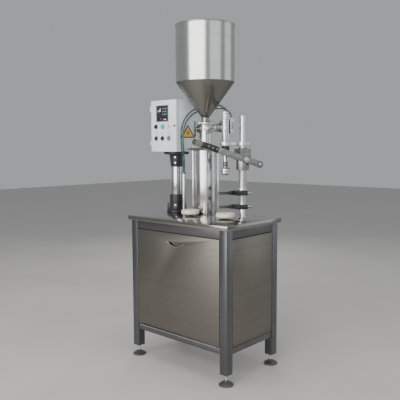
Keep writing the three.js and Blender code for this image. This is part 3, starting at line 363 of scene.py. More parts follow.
LEGEND_GREY = Moulding("Grey legend film", (0.17, 0.18, 0.20), (0.28, 0.29, 0.31), 0.4, 0.55)
BEZEL_GREY = Moulding("Display bezel", (0.05, 0.055, 0.065), (0.09, 0.095, 0.11), 0.3, 0.45)
SCREEN_DARK = Moulding(
    "Dark display glass", (0.008, 0.010, 0.018), (0.022, 0.026, 0.04), 0.06, 0.14, coat=0.6)
DIGIT_GLOW = Moulding("Lit display segments", (0.55, 0.60, 0.62), (0.75, 0.80, 0.82), 0.3, 0.4, glow=0.35)
DIGIT_RED = Moulding("Red display lamp", (0.50, 0.05, 0.08), (0.75, 0.12, 0.15), 0.3, 0.4, glow=0.5)
BUTTON_BLACK = Moulding("Black button cap", (0.008, 0.009, 0.011), (0.022, 0.024, 0.028), 0.2, 0.34, coat=0.3)
BUTTON_TEAL = Moulding(
    "Lit teal lens", (0.02, 0.42, 0.42), (0.10, 0.66, 0.66), 0.12, 0.22, glow=0.35, coat=0.5)
BUTTON_GREEN = Moulding("Green button cap", (0.02, 0.27, 0.13), (0.06, 0.42, 0.24), 0.15, 0.26, coat=0.5)
SEAL_RUBBER = Moulding("Door seal rubber", (0.010, 0.010, 0.011), (0.03, 0.03, 0.032), 0.5, 0.7)
HOSE_TEAL = Moulding("Dark teal hose", (0.010, 0.055, 0.050), (0.025, 0.10, 0.092), 0.22, 0.34, coat=0.3)
FLOOR_PAINT = Moulding("Pale floor", (0.52, 0.505, 0.48), (0.57, 0.555, 0.53), 0.55, 0.75, wear=1.2)


# ---- outlines ----
def disc_outline(
    radius: float, sides: int = ROUND_SIDES, middle: tuple[float, float] = (0.0, 0.0)
) -> Outline:
    """A round outline."""
    turns = [2 * math.pi * step / sides for step in range(sides)]
    return [(middle[0] + radius * math.cos(turn), middle[1] + radius * math.sin(turn)) for turn in turns]


def hexagon(across_corners: float) -> Outline:
    """The outline of a hexagon nut or head."""
    return disc_outline(across_corners / 2, 6)


def slab(low: tuple[float, float], high: tuple[float, float]) -> Outline:
    """A rectangular outline between two corners."""
    return [(low[0], low[1]), (high[0], low[1]), (high[0], high[1]), (low[0], high[1])]


def arc(middle: tuple[float, float], radius: float, start: float, end: float, steps: int) -> Outline:
    """Points along an arc, from one angle in degrees to another."""
    points = []
    for step in range(steps + 1):
        turn = math.radians(start + (end - start) * step / steps)
        points.append((middle[0] + radius * math.cos(turn), middle[1] + radius * math.sin(turn)))
    return points


def softened(profile: Outline, radius: float, closed: bool) -> Outline:
    """Rounds the corners of an outline.

    Args:
        profile: the outline's corners, in order.
        radius: how far from a corner its rounding starts.
        closed: True if the last corner joins the first.

    Returns:
        The rounded outline.
    """
    rounded: Outline = []
    count = len(profile)
    for index, corner in enumerate(profile):
        at_end = not closed and index in (0, count - 1)
        here = Vector(corner)
        before = Vector(profile[index - 1]) - here
        after = Vector(profile[(index + 1) % count]) - here
        start = min(radius, 0.4 * before.length, 0.4 * after.length)
        if at_end or corner[0] < 1e-6 or start < 0.04 or before.angle(after) > math.radians(172):
            rounded.append(corner)
            continue
        enter = here + before.normalized() * start
        leave = here + after.normalized() * start
        for share in (0.0, 0.35, 0.65, 1.0):
            point = enter * (1 - share) ** 2 + here * 2 * share * (1 - share) + leave * share**2
            rounded.append((point.x, point.y))
    return rounded


class Axis(Enum):
    """The way a turned shape's own height runs."""

    X = "x"
    Y = "y"
    Z = "z"

    def turn(self) -> Matrix:
        """The rotation that lays a shape's height along this axis."""
        if self is Axis.X:
            return Matrix.Rotation(math.pi / 2, 4, "Y")
        if self is Axis.Y:
            return Matrix.Rotation(-math.pi / 2, 4, "X")
        return Matrix.Identity(4)


def stand(x: float, y: float, z: float, turn: float = 0.0) -> Matrix:
    """A frame in millimetres that stands at a point in metres, turned about Z."""
    return Matrix.Translation((x, y, z)) @ Matrix.Rotation(turn, 4, "Z") @ Matrix.Scale(MM, 4)


def moved(x: float = 0.0, y: float = 0.0, z: float = 0.0) -> Matrix:
    """A shift, in millimetres."""
    return Matrix.Translation((x, y, z))


def finished_piece(
    name: str, mesh: bpy.types.Mesh, body: str, replaces: Sequence[str] = ()
) -> bpy.types.Object:
    """Puts a finished mesh in the scene and ties it to the model.

    Args:
        name: the piece's name.
        mesh: its mesh, already in place in metres.
        body: the body that it moves with.
        replaces: the solids that it stands for.

    Returns:
        The new object.
    """
    mesh.polygons.foreach_set("use_smooth", [True] * len(mesh.polygons))
    mesh.set_sharp_from_angle(angle=SHARP_ANGLE)
    piece = bpy.data.objects.new(name, mesh)
    bpy.context.scene.collection.objects.link(piece)
    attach(piece, body)
    if replaces:
        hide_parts(*replaces)
    LOG.info("%s: %d faces on %s", name, len(mesh.polygons), body)
    return piece


class Solid:
    """One piece under construction: closed shells in millimetres, each with its own finish."""

    def __init__(self, shop: Shop, place: Matrix) -> None:
        """Starts an empty piece.

        Args:
            shop: where the finishes are made.
            place: the frame that its millimetres are measured in.
        """
        self.shop = shop
        self.place = place
        self.mesh = bmesh.new()
        self.materials: list[bpy.types.Material] = []

    def keep(self, shell: bmesh.types.BMesh, finish: Finish, turn: Matrix) -> None:
        """Adds a closed shell.

        Args:
            shell: the shell, which is used up.
            finish: its finish.
            turn: its place among the piece's other shells.
        """
        material = finish.material(self.shop)
        if material not in self.materials:
            self.materials.append(material)
        bmesh.ops.transform(shell, matrix=turn, verts=shell.verts)
        bmesh.ops.recalc_face_normals(shell, faces=shell.faces)
        for face in shell.faces:
            face.material_index = self.materials.index(material)
        passed = bpy.data.meshes.new("shell")
        shell.to_mesh(passed)
        shell.free()
        self.mesh.from_mesh(passed)
        bpy.data.meshes.remove(passed)

    def lathe(
        self, profile: Outline, finish: Finish, at: Point = (0.0, 0.0, 0.0), axis: Axis = Axis.Z,
        sides: int = ROUND_SIDES, soft: float = 0.8, closed: bool = False, turn: Matrix | None = None,
    ) -> "Solid":
        """Adds a turned shell.

        Args:
            profile: (radius, height) corners, from the axis to the axis, or a closed ring.
            finish: its finish.
            at: where its own origin goes.
            axis: the way its height runs.
            sides: how many sides its circle has.
            soft: how far from a corner its rounding starts.
            closed: True where the profile is a ring clear of the axis.
            turn: a further turn, made before it is moved into place.

        Returns:
            This piece.
        """
        points = softened(profile, soft, closed)
        shell = bmesh.new()
        rings: list[list[bmesh.types.BMVert]] = []
        turns = [(math.cos(2 * math.pi * step / sides), math.sin(2 * math.pi * step / sides))
                 for step in range(sides)]
        for radius, height in points:
            if radius < ON_AXIS:
                rings.append([shell.verts.new((0.0, 0.0, height))])
            else:
                rings.append([shell.verts.new((radius * c, radius * s, height)) for c, s in turns])
        pairs = list(zip(rings, rings[1:] + rings[:1] if closed else rings[1:]))
        for first, second in pairs:
            for step in range(sides):
                after = (step + 1) % sides
                corners = [first[step % len(first)], first[after % len(first)],
                           second[after % len(second)], second[step % len(second)]]
                distinct = list(dict.fromkeys(corners))
                if len(distinct) > 2:
                    shell.faces.new(distinct)
        place = moved(*at) @ (turn or Matrix.Identity(4)) @ axis.turn()
        self.keep(shell, finish, place)
        return self

    def rod(
        self, radius: float, low: float, high: float, finish: Finish, at: Point = (0.0, 0.0, 0.0),
        axis: Axis = Axis.Z, sides: int = 48, soft: float = 0.8, turn: Matrix | None = None,
    ) -> "Solid":
        """Adds a plain round bar, by the rules of lathe."""
        profile = [(0.0, low), (radius, low), (radius, high), (0.0, high)]
        return self.lathe(profile, finish, at, axis, sides, soft, turn=turn)

    def ring(
        self, outer: float, inner: float, low: float, high: float, finish: Finish,
        at: Point = (0.0, 0.0, 0.0), axis: Axis = Axis.Z, sides: int = ROUND_SIDES, soft: float = 0.8,
    ) -> "Solid":
        """Adds a plain ring or tube, by the rules of lathe."""
        profile = [(inner, low), (outer, low), (outer, high), (inner, high)]
        return self.lathe(profile, finish, at, axis, sides, soft, closed=True)

    def box(
        self, low: Point, high: Point, finish: Finish, bevel: float = 1.0, turn: Matrix | None = None
    ) -> "Solid":
        """Adds a box with rounded edges.

        Args:
            low: its lowest corner.
            high: its highest corner.
            finish: its finish.
            bevel: how wide its edge rounding is.
            turn: a turn of the whole box, about the piece's origin.

        Returns:
            This piece.
        """
        outline = slab(low[:2], high[:2])
        return self.prism(outline, low[2], high[2], finish, turn, bevel)

    def prism(
        self, outline: Outline, low: float, high: float, finish: Finish, turn: Matrix | None = None,
        bevel: float = 0.8,
    ) -> "Solid":
        """Adds an outline pushed along its own Z.

        Args:
            outline: its corners.
            low: where it starts along Z.
            high: where it ends.
            finish: its finish.
            turn: a turn and shift of the whole shell.
            bevel: how wide its edge rounding is.

        Returns:
            This piece.
        """
        shell = bmesh.new()
        under = [shell.verts.new((x, y, low)) for x, y in outline]
        over = [shell.verts.new((x, y, high)) for x, y in outline]
        shell.faces.new(under[::-1])
        shell.faces.new(over)
        for index in range(len(outline)):
            after = (index + 1) % len(outline)
            shell.faces.new([under[index], under[after], over[after], over[index]])
        self.round_edges(shell, bevel)
        self.keep(shell, finish, turn or Matrix.Identity(4))
        return self

    def bored(
        self, outline: Outline, bore: float, low: float, high: float, finish: Finish,
        turn: Matrix | None = None, bevel: float = 0.8, sides: int = ROUND_SIDES,
    ) -> "Solid":
        """Adds a plate of any outline with a round bore about its own Z.

        Args:
            outline: its corners, in order, all in sight of the bore's middle.
            bore: the bore's radius.
            low: where it starts along Z.
            high: where it ends.
            finish: its finish.
            turn: a turn and shift of the whole shell.
            bevel: how wide its edge rounding is.
            sides: how many sides the bore has.

        Returns:
            This piece.
        """
        reach: list[Vector] = []
        for step in range(sides):
            turned = 2 * math.pi * step / sides
            way = Vector((math.cos(turned), math.sin(turned)))
            hits = []
            for index, corner in enumerate(outline):
                a, b = Vector(corner), Vector(outline[(index + 1) % len(outline)])
                side = b - a
                cross = way.x * side.y - way.y * side.x
                if abs(cross) < PARALLEL:
                    continue
                along = (a.x * side.y - a.y * side.x) / cross
                share = (a.x * way.y - a.y * way.x) / cross
                if along > 0 and -1e-6 <= share <= 1 + 1e-6:
                    hits.append(along)
            reach.append(way * max(hits))
        for corner in outline:
            nearest = min(range(sides), key=lambda step: (reach[step] - Vector(corner)).length)
            reach[nearest] = Vector(corner)
        shell = bmesh.new()
        hole = disc_outline(bore, sides)
        loops = [
            [shell.verts.new((x, y, height)) for x, y in line]
            for height in (low, high) for line in (hole, reach)
        ]
        for first, second in ((0, 1), (1, 3), (3, 2), (2, 0)):
            for step in range(sides):
                after = (step + 1) % sides
                shell.faces.new([
                    loops[first][step], loops[first][after], loops[second][after], loops[second][step]])
        bmesh.ops.recalc_face_normals(shell, faces=shell.faces)
        self.round_edges(shell, bevel)
        self.keep(shell, finish, turn or Matrix.Identity(4))
        return self

    def sweep(self, points: Sequence[Point], radius: float, finish: Finish, sides: int = 20) -> "Solid":
        """Adds a round bar bent along points, closed at both ends.

        Args:
            points: the bar's centre line.
            radius: its radius.
            finish: its finish.
            sides: how many sides its section has.

        Returns:
            This piece.
        """
        line = [Vector(point) for point in points]
        shell = bmesh.new()
        normal = (line[1] - line[0]).orthogonal().normalized()
        rings = []
        for index, point in enumerate(line):
            way = (line[min(index + 1, len(line) - 1)] - line[max(index - 1, 0)]).normalized()
            normal = (normal - way * normal.dot(way)).normalized()
            other = way.cross(normal)
            rings.append([
                shell.verts.new(point + radius * (math.cos(t) * normal + math.sin(t) * other))
                for t in (2 * math.pi * step / sides for step in range(sides))
            ])
        for first, second in zip(rings, rings[1:]):
            for step in range(sides):
                after = (step + 1) % sides
                shell.faces.new([first[step], first[after], second[after], second[step]])
        shell.faces.new(rings[0][::-1])
        shell.faces.new(rings[-1])
        self.keep(shell, finish, Matrix.Identity(4))
        return self

    @staticmethod
    def round_edges(shell: bmesh.types.BMesh, width: float) -> None:
        """Rounds a shell's sharp edges.

        Args:
            shell: the shell.
            width: how wide the rounding is, or 0 for none.
        """
        if width <= 0:
            return
        shell.normal_update()
        sharp = [
            edge for edge in shell.edges
            if len(edge.link_faces) == 2 and edge.calc_face_angle(0.0) > BEVEL_ANGLE
        ]
        bmesh.ops.bevel(
            shell, geom=sharp, offset=width, offset_type="OFFSET", segments=2, profile=0.5,
            affect="EDGES", clamp_overlap=True)

    def piece(self, name: str, body: str, slot: str, *replaces: str) -> bpy.types.Object:
        """Finishes the piece.

        Args:
            name: its name.
            body: the body that it moves with.
            slot: not used.
            replaces: the solids that it stands for.

        Returns:
            The new object.
        """
        mesh = bpy.data.meshes.new(name)
        self.mesh.to_mesh(mesh)
        self.mesh.free()
        for material in self.materials:
            mesh.materials.append(material)
        mesh.transform(self.place)
        return finished_piece(name, mesh, body, replaces)


def refined(
    shop: Shop, node: str, body: str, finish: Finish, width: float = 1.0
) -> bpy.types.Object:
    """Makes a flat-sided solid again with its edges rounded.

    Args:
        shop: where the finishes are made.
        node: the solid's name.
        body: the body that it moves with.
        finish: its finish.
        width: how wide the edge rounding is, in millimetres.

    Returns:
        The piece, which stands for the solid.
    """
    shell = bmesh.new()
    shell.from_mesh(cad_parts[node].data)
    bmesh.ops.remove_doubles(shell, verts=shell.verts, dist=WELD_GAP)
    bmesh.ops.dissolve_limit(shell, angle_limit=FLAT_ANGLE, verts=shell.verts, edges=shell.edges)
    Solid.round_edges(shell, width * MM)
    mesh = bpy.data.meshes.new(node)
    shell.to_mesh(mesh)
    shell.free()
    for polygon in mesh.polygons:
        polygon.material_index = 0
    mesh.materials.clear()
    mesh.materials.append(finish.material(shop))
    return finished_piece(f"fine_{node}", mesh, body, (node,))


# ---- repeated shapes ----
def cap_screws_tree() -> bpy.types.GeometryNodeTree:
    """Cap screws with hexagon sockets, one at each point, facing one way.

    Returns:
        The tree, with inputs for the head's sizes, its turn and its finish.
    """
    group = bpy.data.node_groups.new("Cap screws", "GeometryNodeTree")
    tree = Tree(group)
    tree.socket("Places", "NodeSocketGeometry")
    tree.socket("Head Radius", "NodeSocketFloat", value=4.0)
    tree.socket("Head Height", "NodeSocketFloat", value=4.0)
    tree.socket("Turn", "NodeSocketVector")
    tree.socket("Finish", "NodeSocketMaterial")
    tree.socket("Screws", "NodeSocketGeometry", leaves=True)
    start = tree.add("NodeGroupInput").outputs
    half = tree.add("ShaderNodeMath", {"operation": "MULTIPLY"}, {0: start["Head Height"], 1: 0.5})
    key = tree.add("ShaderNodeMath", {"operation": "MULTIPLY"}, {0: start["Head Radius"], 1: 0.55})
    rise = tree.add("ShaderNodeCombineXYZ", inputs={"Z": half.outputs[0]})
    top = tree.add("ShaderNodeCombineXYZ", inputs={"Z": start["Head Height"]})
    head = tree.add("GeometryNodeMeshCylinder", inputs={
        "Vertices": 32, "Radius": start["Head Radius"], "Depth": start["Head Height"]})
    socket = tree.add("GeometryNodeMeshCylinder", inputs={
        "Vertices": 6, "Radius": key.outputs[0], "Depth": start["Head Height"]})
    stood = tree.add("GeometryNodeTransform", inputs={
        "Geometry": head.outputs["Mesh"], "Translation": rise.outputs[0]})
    sunk = tree.add("GeometryNodeTransform", inputs={
        "Geometry": socket.outputs["Mesh"], "Translation": top.outputs[0]})
    screw = tree.add("GeometryNodeMeshBoolean", {"operation": "DIFFERENCE"}, {
        "Mesh 1": stood.outputs[0], "Mesh 2": sunk.outputs[0]})
    places = tree.add("GeometryNodeMeshToPoints", inputs={"Mesh": start["Places"]})
    turn = tree.add("FunctionNodeEulerToRotation", inputs={"Euler": start["Turn"]})
    copies = tree.add("GeometryNodeInstanceOnPoints", inputs={
        "Points": places.outputs[0], "Instance": screw.outputs[0], "Rotation": turn.outputs[0]})
    real = tree.add("GeometryNodeRealizeInstances", inputs={"Geometry": copies.outputs[0]})
    dressed_up = tree.add("GeometryNodeSetMaterial", inputs={
        "Geometry": real.outputs[0], "Material": start["Finish"]})
    tree.add("NodeGroupOutput", inputs={"Screws": dressed_up.outputs[0]})
    return group


def coil_spring_tree() -> bpy.types.GeometryNodeTree:
    """A round-wire compression spring standing on its first point.

    Returns:
        The tree, with inputs for the coil's sizes and its finish.
    """
    group = bpy.data.node_groups.new("Coil spring", "GeometryNodeTree")
    tree = Tree(group)
    tree.socket("Places", "NodeSocketGeometry")
    tree.socket("Coil Radius", "NodeSocketFloat", value=23.0)
    tree.socket("Wire Radius", "NodeSocketFloat", value=2.5)
    tree.socket("Height", "NodeSocketFloat", value=100.0)
    tree.socket("Turns", "NodeSocketFloat", value=9.0)
    tree.socket("Finish", "NodeSocketMaterial")
    tree.socket("Spring", "NodeSocketGeometry", leaves=True)
    start = tree.add("NodeGroupInput").outputs
    line = tree.add("GeometryNodeCurveSpiral", inputs={
        "Resolution": 40, "Rotations": start["Turns"], "Start Radius": start["Coil Radius"],
        "End Radius": start["Coil Radius"], "Height": start["Height"]})
    wire = tree.add("GeometryNodeCurvePrimitiveCircle", inputs={
        "Resolution": 14, "Radius": start["Wire Radius"]})
    coil = tree.add("GeometryNodeCurveToMesh", inputs={
        "Curve": line.outputs[0], "Profile Curve": wire.outputs[0], "Fill Caps": True})
    places = tree.add("GeometryNodeMeshToPoints", inputs={"Mesh": start["Places"]})
    copies = tree.add("GeometryNodeInstanceOnPoints", inputs={
        "Points": places.outputs[0], "Instance": coil.outputs[0]})
    real = tree.add("GeometryNodeRealizeInstances", inputs={"Geometry": copies.outputs[0]})
    dressed_up = tree.add("GeometryNodeSetMaterial", inputs={
        "Geometry": real.outputs[0], "Material": start["Finish"]})
    tree.add("NodeGroupOutput", inputs={"Spring": dressed_up.outputs[0]})
    return group


def barrel_row_tree() -> bpy.types.GeometryNodeTree:
    """Short round barrels repeated along a line, as threads, grooves or hinge knuckles are.

    Returns:
        The tree, with inputs for the barrel's sizes, the step between barrels, their count and finish.
    """
    group = bpy.data.node_groups.new("Barrel row", "GeometryNodeTree")
    tree = Tree(group)
    tree.socket("Places", "NodeSocketGeometry")
    tree.socket("Radius", "NodeSocketFloat", value=6.0)
    tree.socket("Length", "NodeSocketFloat", value=1.0)
    tree.socket("Step", "NodeSocketVector")
    tree.socket("Count", "NodeSocketInt", value=10)
    tree.socket("Turn", "NodeSocketVector")
    tree.socket("Finish", "NodeSocketMaterial")
    tree.socket("Row", "NodeSocketGeometry", leaves=True)
    start = tree.add("NodeGroupInput").outputs
    barrel = tree.add("GeometryNodeMeshCylinder", inputs={
        "Vertices": 40, "Radius": start["Radius"], "Depth": start["Length"]})
    line = tree.add("GeometryNodeMeshLine", inputs={"Count": start["Count"], "Offset": start["Step"]})
    turn = tree.add("FunctionNodeEulerToRotation", inputs={"Euler": start["Turn"]})
    row = tree.add("GeometryNodeInstanceOnPoints", inputs={
        "Points": line.outputs[0], "Instance": barrel.outputs["Mesh"], "Rotation": turn.outputs[0]})
    solid = tree.add("GeometryNodeRealizeInstances", inputs={"Geometry": row.outputs[0]})
    places = tree.add("GeometryNodeMeshToPoints", inputs={"Mesh": start["Places"]})
    copies = tree.add("GeometryNodeInstanceOnPoints", inputs={
        "Points": places.outputs[0], "Instance": solid.outputs[0]})
    real = tree.add("GeometryNodeRealizeInstances", inputs={"Geometry": copies.outputs[0]})
    dressed_up = tree.add("GeometryNodeSetMaterial", inputs={
        "Geometry": real.outputs[0], "Material": start["Finish"]})
    tree.add("NodeGroupOutput", inputs={"Row": dressed_up.outputs[0]})
    return group


class Repeats:
    """Grows repeated shapes from points with the geometry trees."""

    def __init__(self, shop: Shop) -> None:
        """Builds the trees."""
        self.shop = shop
        self.screws = cap_screws_tree()
        self.spring = coil_spring_tree()
        self.barrels = barrel_row_tree()

    def grow(
        self, tree: bpy.types.GeometryNodeTree, places: Sequence[Point], place: Matrix,
        finish: Finish, **sizes: object,
    ) -> bpy.types.Mesh:
        """Runs a tree on points and keeps the result as a plain mesh.

        Args:
            tree: the geometry tree.
            places: the points, in millimetres.
            place: the frame that the millimetres are measured in.
            finish: the finish of every copy.
            sizes: the tree's other inputs, with _ for a space.

        Returns:
            The mesh, in place in metres.
        """
        seed = bpy.data.meshes.new("places")
        seed.from_pydata([tuple(point) for point in places], [], [])
        holder = bpy.data.objects.new("places", seed)
        bpy.context.scene.collection.objects.link(holder)
        grower = holder.modifiers.new("Grow", "NODES")
        grower.node_group = tree
        values = {key.replace("_", " "): value for key, value in sizes.items()}
        values["Finish"] = finish.material(self.shop)
        for item in tree.interface.items_tree:
            if item.in_out == "INPUT" and item.name in values:
                grower[item.identifier] = values[item.name]
        grown = holder.evaluated_get(bpy.context.evaluated_depsgraph_get())
        mesh = bpy.data.meshes.new_from_object(grown)
        holder.modifiers.remove(grower)
        bpy.data.objects.remove(holder)
        bpy.data.meshes.remove(seed)
        mesh.transform(place)
        return mesh

    def cap_screws(
        self, name: str, places: Sequence[Point], place: Matrix, body: str, slot: str,
        radius: float, height: float, turn: Point = (0.0, 0.0, 0.0), finish: Finish = BRIGHT_STEEL,
    ) -> bpy.types.Object:
        """Adds a set of cap screws as one piece.

        Args:
            name: the piece's name.
            places: where each head is seated.
            place: the frame that the places are measured in.
            body: the body that they move with.
            slot: not used.
            radius: the head's radius.
            height: the head's height.
            turn: the turn from facing up, in degrees about X, Y and Z.
            finish: their finish.

        Returns:
            The new object.
        """
        turned = [math.radians(part) for part in turn]
        mesh = self.grow(
            self.screws, places, place, finish, Head_Radius=radius, Head_Height=height, Turn=turned)
        return finished_piece(name, mesh, body)

    def barrel_row(
        self, name: str, places: Sequence[Point], place: Matrix, body: str, slot: str, radius: float,
        length: float, step: Point, count: int, turn: Point = (0.0, 0.0, 0.0),
        finish: Finish = BRIGHT_STEEL, replaces: Sequence[str] = (),
    ) -> bpy.types.Object:
        """Adds rows of barrels as one piece.

        Args:
            name: the piece's name.
            places: the middle of each row's first barrel.
            place: the frame that the places are measured in.
            body: the body that they move with.
            slot: not used.
            radius: a barrel's radius.
            length: a barrel's length.
            step: the way from one barrel to the next.
            count: how many barrels a row has.
            turn: the turn from standing up, in degrees about X, Y and Z.
            finish: their finish.
            replaces: the solids that the rows stand for.

        Returns:
            The new object.
        """
        turned = [math.radians(part) for part in turn]
        mesh = self.grow(
            self.barrels, places, place, finish, Radius=radius, Length=length, Step=step, Count=count,
            Turn=turned)
        return finished_piece(name, mesh, body, replaces)


# ---- where things stand ----
def middle_of(node: str) -> Vector:
    """The middle of a solid's box, in metres."""
    low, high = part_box(node)
    return (low + high) / 2


@dataclass(frozen=True)
class Site:
    """The upright axis that each sub-assembly is measured from, in metres."""

    table: Vector
    dosing: Vector
    nozzle: Vector
    column: Vector
    left_disc: Vector
    pedestal: Vector
    conduit: Vector
    table_top: float

    @classmethod
    def from_frame(cls) -> "Site":
        """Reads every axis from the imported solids.

        Returns:
            The site.
        """
        return cls(
            table=middle_of("tabletop"),
            dosing=middle_of("dosing_cylinder"),
            nozzle=middle_of("shutoff_pin"),
            column=middle_of("return_spring"),
            left_disc=middle_of("rest_disc_left"),
            pedestal=middle_of("pedestal_tube"),
            conduit=middle_of("air_conduit"),
            table_top=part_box("tabletop")[1].z,
        )

    def on_table(self, axis: Vector, towards: Vector | None = None) -> Matrix:
        """A frame in millimetres on the table top.

        Args:
            axis: the axis that it stands on.
            towards: a point that its X turns to face, or None for no turn.

        Returns:
            The frame.
        """
        turn = math.atan2(towards.y - axis.y, towards.x - axis.x) if towards else 0.0
        return stand(axis.x, axis.y, self.table_top, turn)

    def on_floor(self, axis: Vector) -> Matrix:
        """A frame in millimetres on the floor under an axis."""
        return stand(axis.x, axis.y, 0.0)


@dataclass
class Kit:
    """What every sub-assembly builds with."""

    site: Site
    shop: Shop
    repeats: Repeats


# ---- air line ----
HOSE_ROUTES: dict[str, list[Point]] = {
    "air_hose_a": [
        (-189.5, 35, 252), (-189, 33, 300), (-187, 22, 378), (-185, 14, 440), (-185, 14, 495),
        (-185, 32, 545), (-182, 58, 584), (-174, 90, 614), (-158, 124, 634), (-134, 160, 644),
        (-100, 186, 648), (-58, 192, 649), (-16, 178, 647), (24, 144, 643), (56, 100, 636),
        (92, 68, 628), (128, 40, 619), (158, 14, 615), (177, -6, 610), (185, -16.8, 602),
        (185, -17, 591.5),
    ],
    "air_hose_b": [
        (-180.5, 35, 252), (-177, 33, 300), (-174, 24, 378), (-172, 18, 440), (-171, 20, 495),
        (-170, 38, 540), (-167, 62, 572), (-160, 90, 597), (-146, 120, 614), (-126, 154, 624),
        (-96, 175, 629), (-58, 180, 630), (-20, 166, 629), (18, 134, 626), (56, 92, 622), (94, 68, 617),
        (132, 48, 609), (166, 32, 597), (190, 20, 582), (200, 15.5, 568), (201, 15.3, 557.2),
    ],
}


@dataclass
class AirLine:
    """The upright conduit and the two hoses that climb from it to the nozzle."""

    kit: Kit
    conduit_radius: float = 10.0
    conduit_bore: float = 8.5
    conduit_height: float = 250.0
    gland_radius: float = 14.0
    gland_height: float = 9.0
    hose_radius: float = 0.004
    steps_between: int = 12

    def route(self, name: str) -> list[Vector]:
        """A hose's centre line, in metres.

        Args:
            name: the hose's solid.

        Returns:
            Closely spaced points on a smooth line through the route's points.
        """
        origin = Vector((self.kit.site.table.x, self.kit.site.table.y, self.kit.site.table_top))
        points = [origin + Vector(point) * MM for point in HOSE_ROUTES[name]]
        points = [2 * points[0] - points[1], *points, 2 * points[-1] - points[-2]]
        line = [points[1]]
        for before, here, after, beyond in zip(points, points[1:], points[2:], points[3:]):
            knots = [0.0]
            for start, end in ((before, here), (here, after), (after, beyond)):
                knots.append(knots[-1] + math.sqrt((end - start).length))
            for step in range(1, self.steps_between + 1):
                at = knots[1] + (knots[2] - knots[1]) * step / self.steps_between
                line.append(self.blend((before, here, after, beyond), knots, at))
        return line

    @staticmethod
    def blend(points: Sequence[Vector], knots: Sequence[float], at: float) -> Vector:
        """A point on the smooth line through four points.

        Args:
            points: the four points.
            knots: the points' places along the line.
            at: the place that is wanted, between the middle two.

        Returns:
            The point.
        """
        level = list(points)
        for width in (1, 2, 3):
            merged = []
            for index in range(len(level) - 1):
                low, high = (index, index + width) if width < 3 else (1, 2)
                share = (at - knots[low]) / (knots[high] - knots[low])
                merged.append(level[index].lerp(level[index + 1], share))
            level = merged
        return level[0]

    def build_hoses(self) -> None:
        for name in HOSE_ROUTES:
            line = self.route(name)
            data = bpy.data.curves.new(f"{name}_line", "CURVE")
            data.dimensions = "3D"
            data.bevel_depth = self.hose_radius
            data.bevel_resolution = 5
            data.use_fill_caps = True
            spline = data.splines.new("POLY")
            spline.points.add(len(line) - 1)
            for point, place in zip(spline.points, line):
                point.co = (*place, 1.0)
            spline.use_smooth = True
            data.materials.append(HOSE_TEAL.material(self.kit.shop))
            hose = bpy.data.objects.new(f"fine_{name}", data)
            bpy.context.scene.collection.objects.link(hose)
            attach(hose, "machine")
            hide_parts(name)

    def build_conduit(self) -> None:
        """Makes the conduit with its foot nut and its top gland."""
        site = self.kit.site
        solid = Solid(self.kit.shop, site.on_table(site.conduit))
        top = self.conduit_height
        solid.ring(self.conduit_radius, self.conduit_bore, 0.3, top, BRIGHT_STEEL, sides=48)
        solid.bored(hexagon(30.0), self.conduit_radius, 0.3, 8.0, BRIGHT_STEEL, sides=48)
        solid.ring(self.gland_radius - 1.5, self.conduit_bore, top - self.gland_height, top + 1.0, DARK_STEEL,
                   sides=48)
        solid.piece("fine_air_conduit", "machine", "bright_steel", "air_conduit")


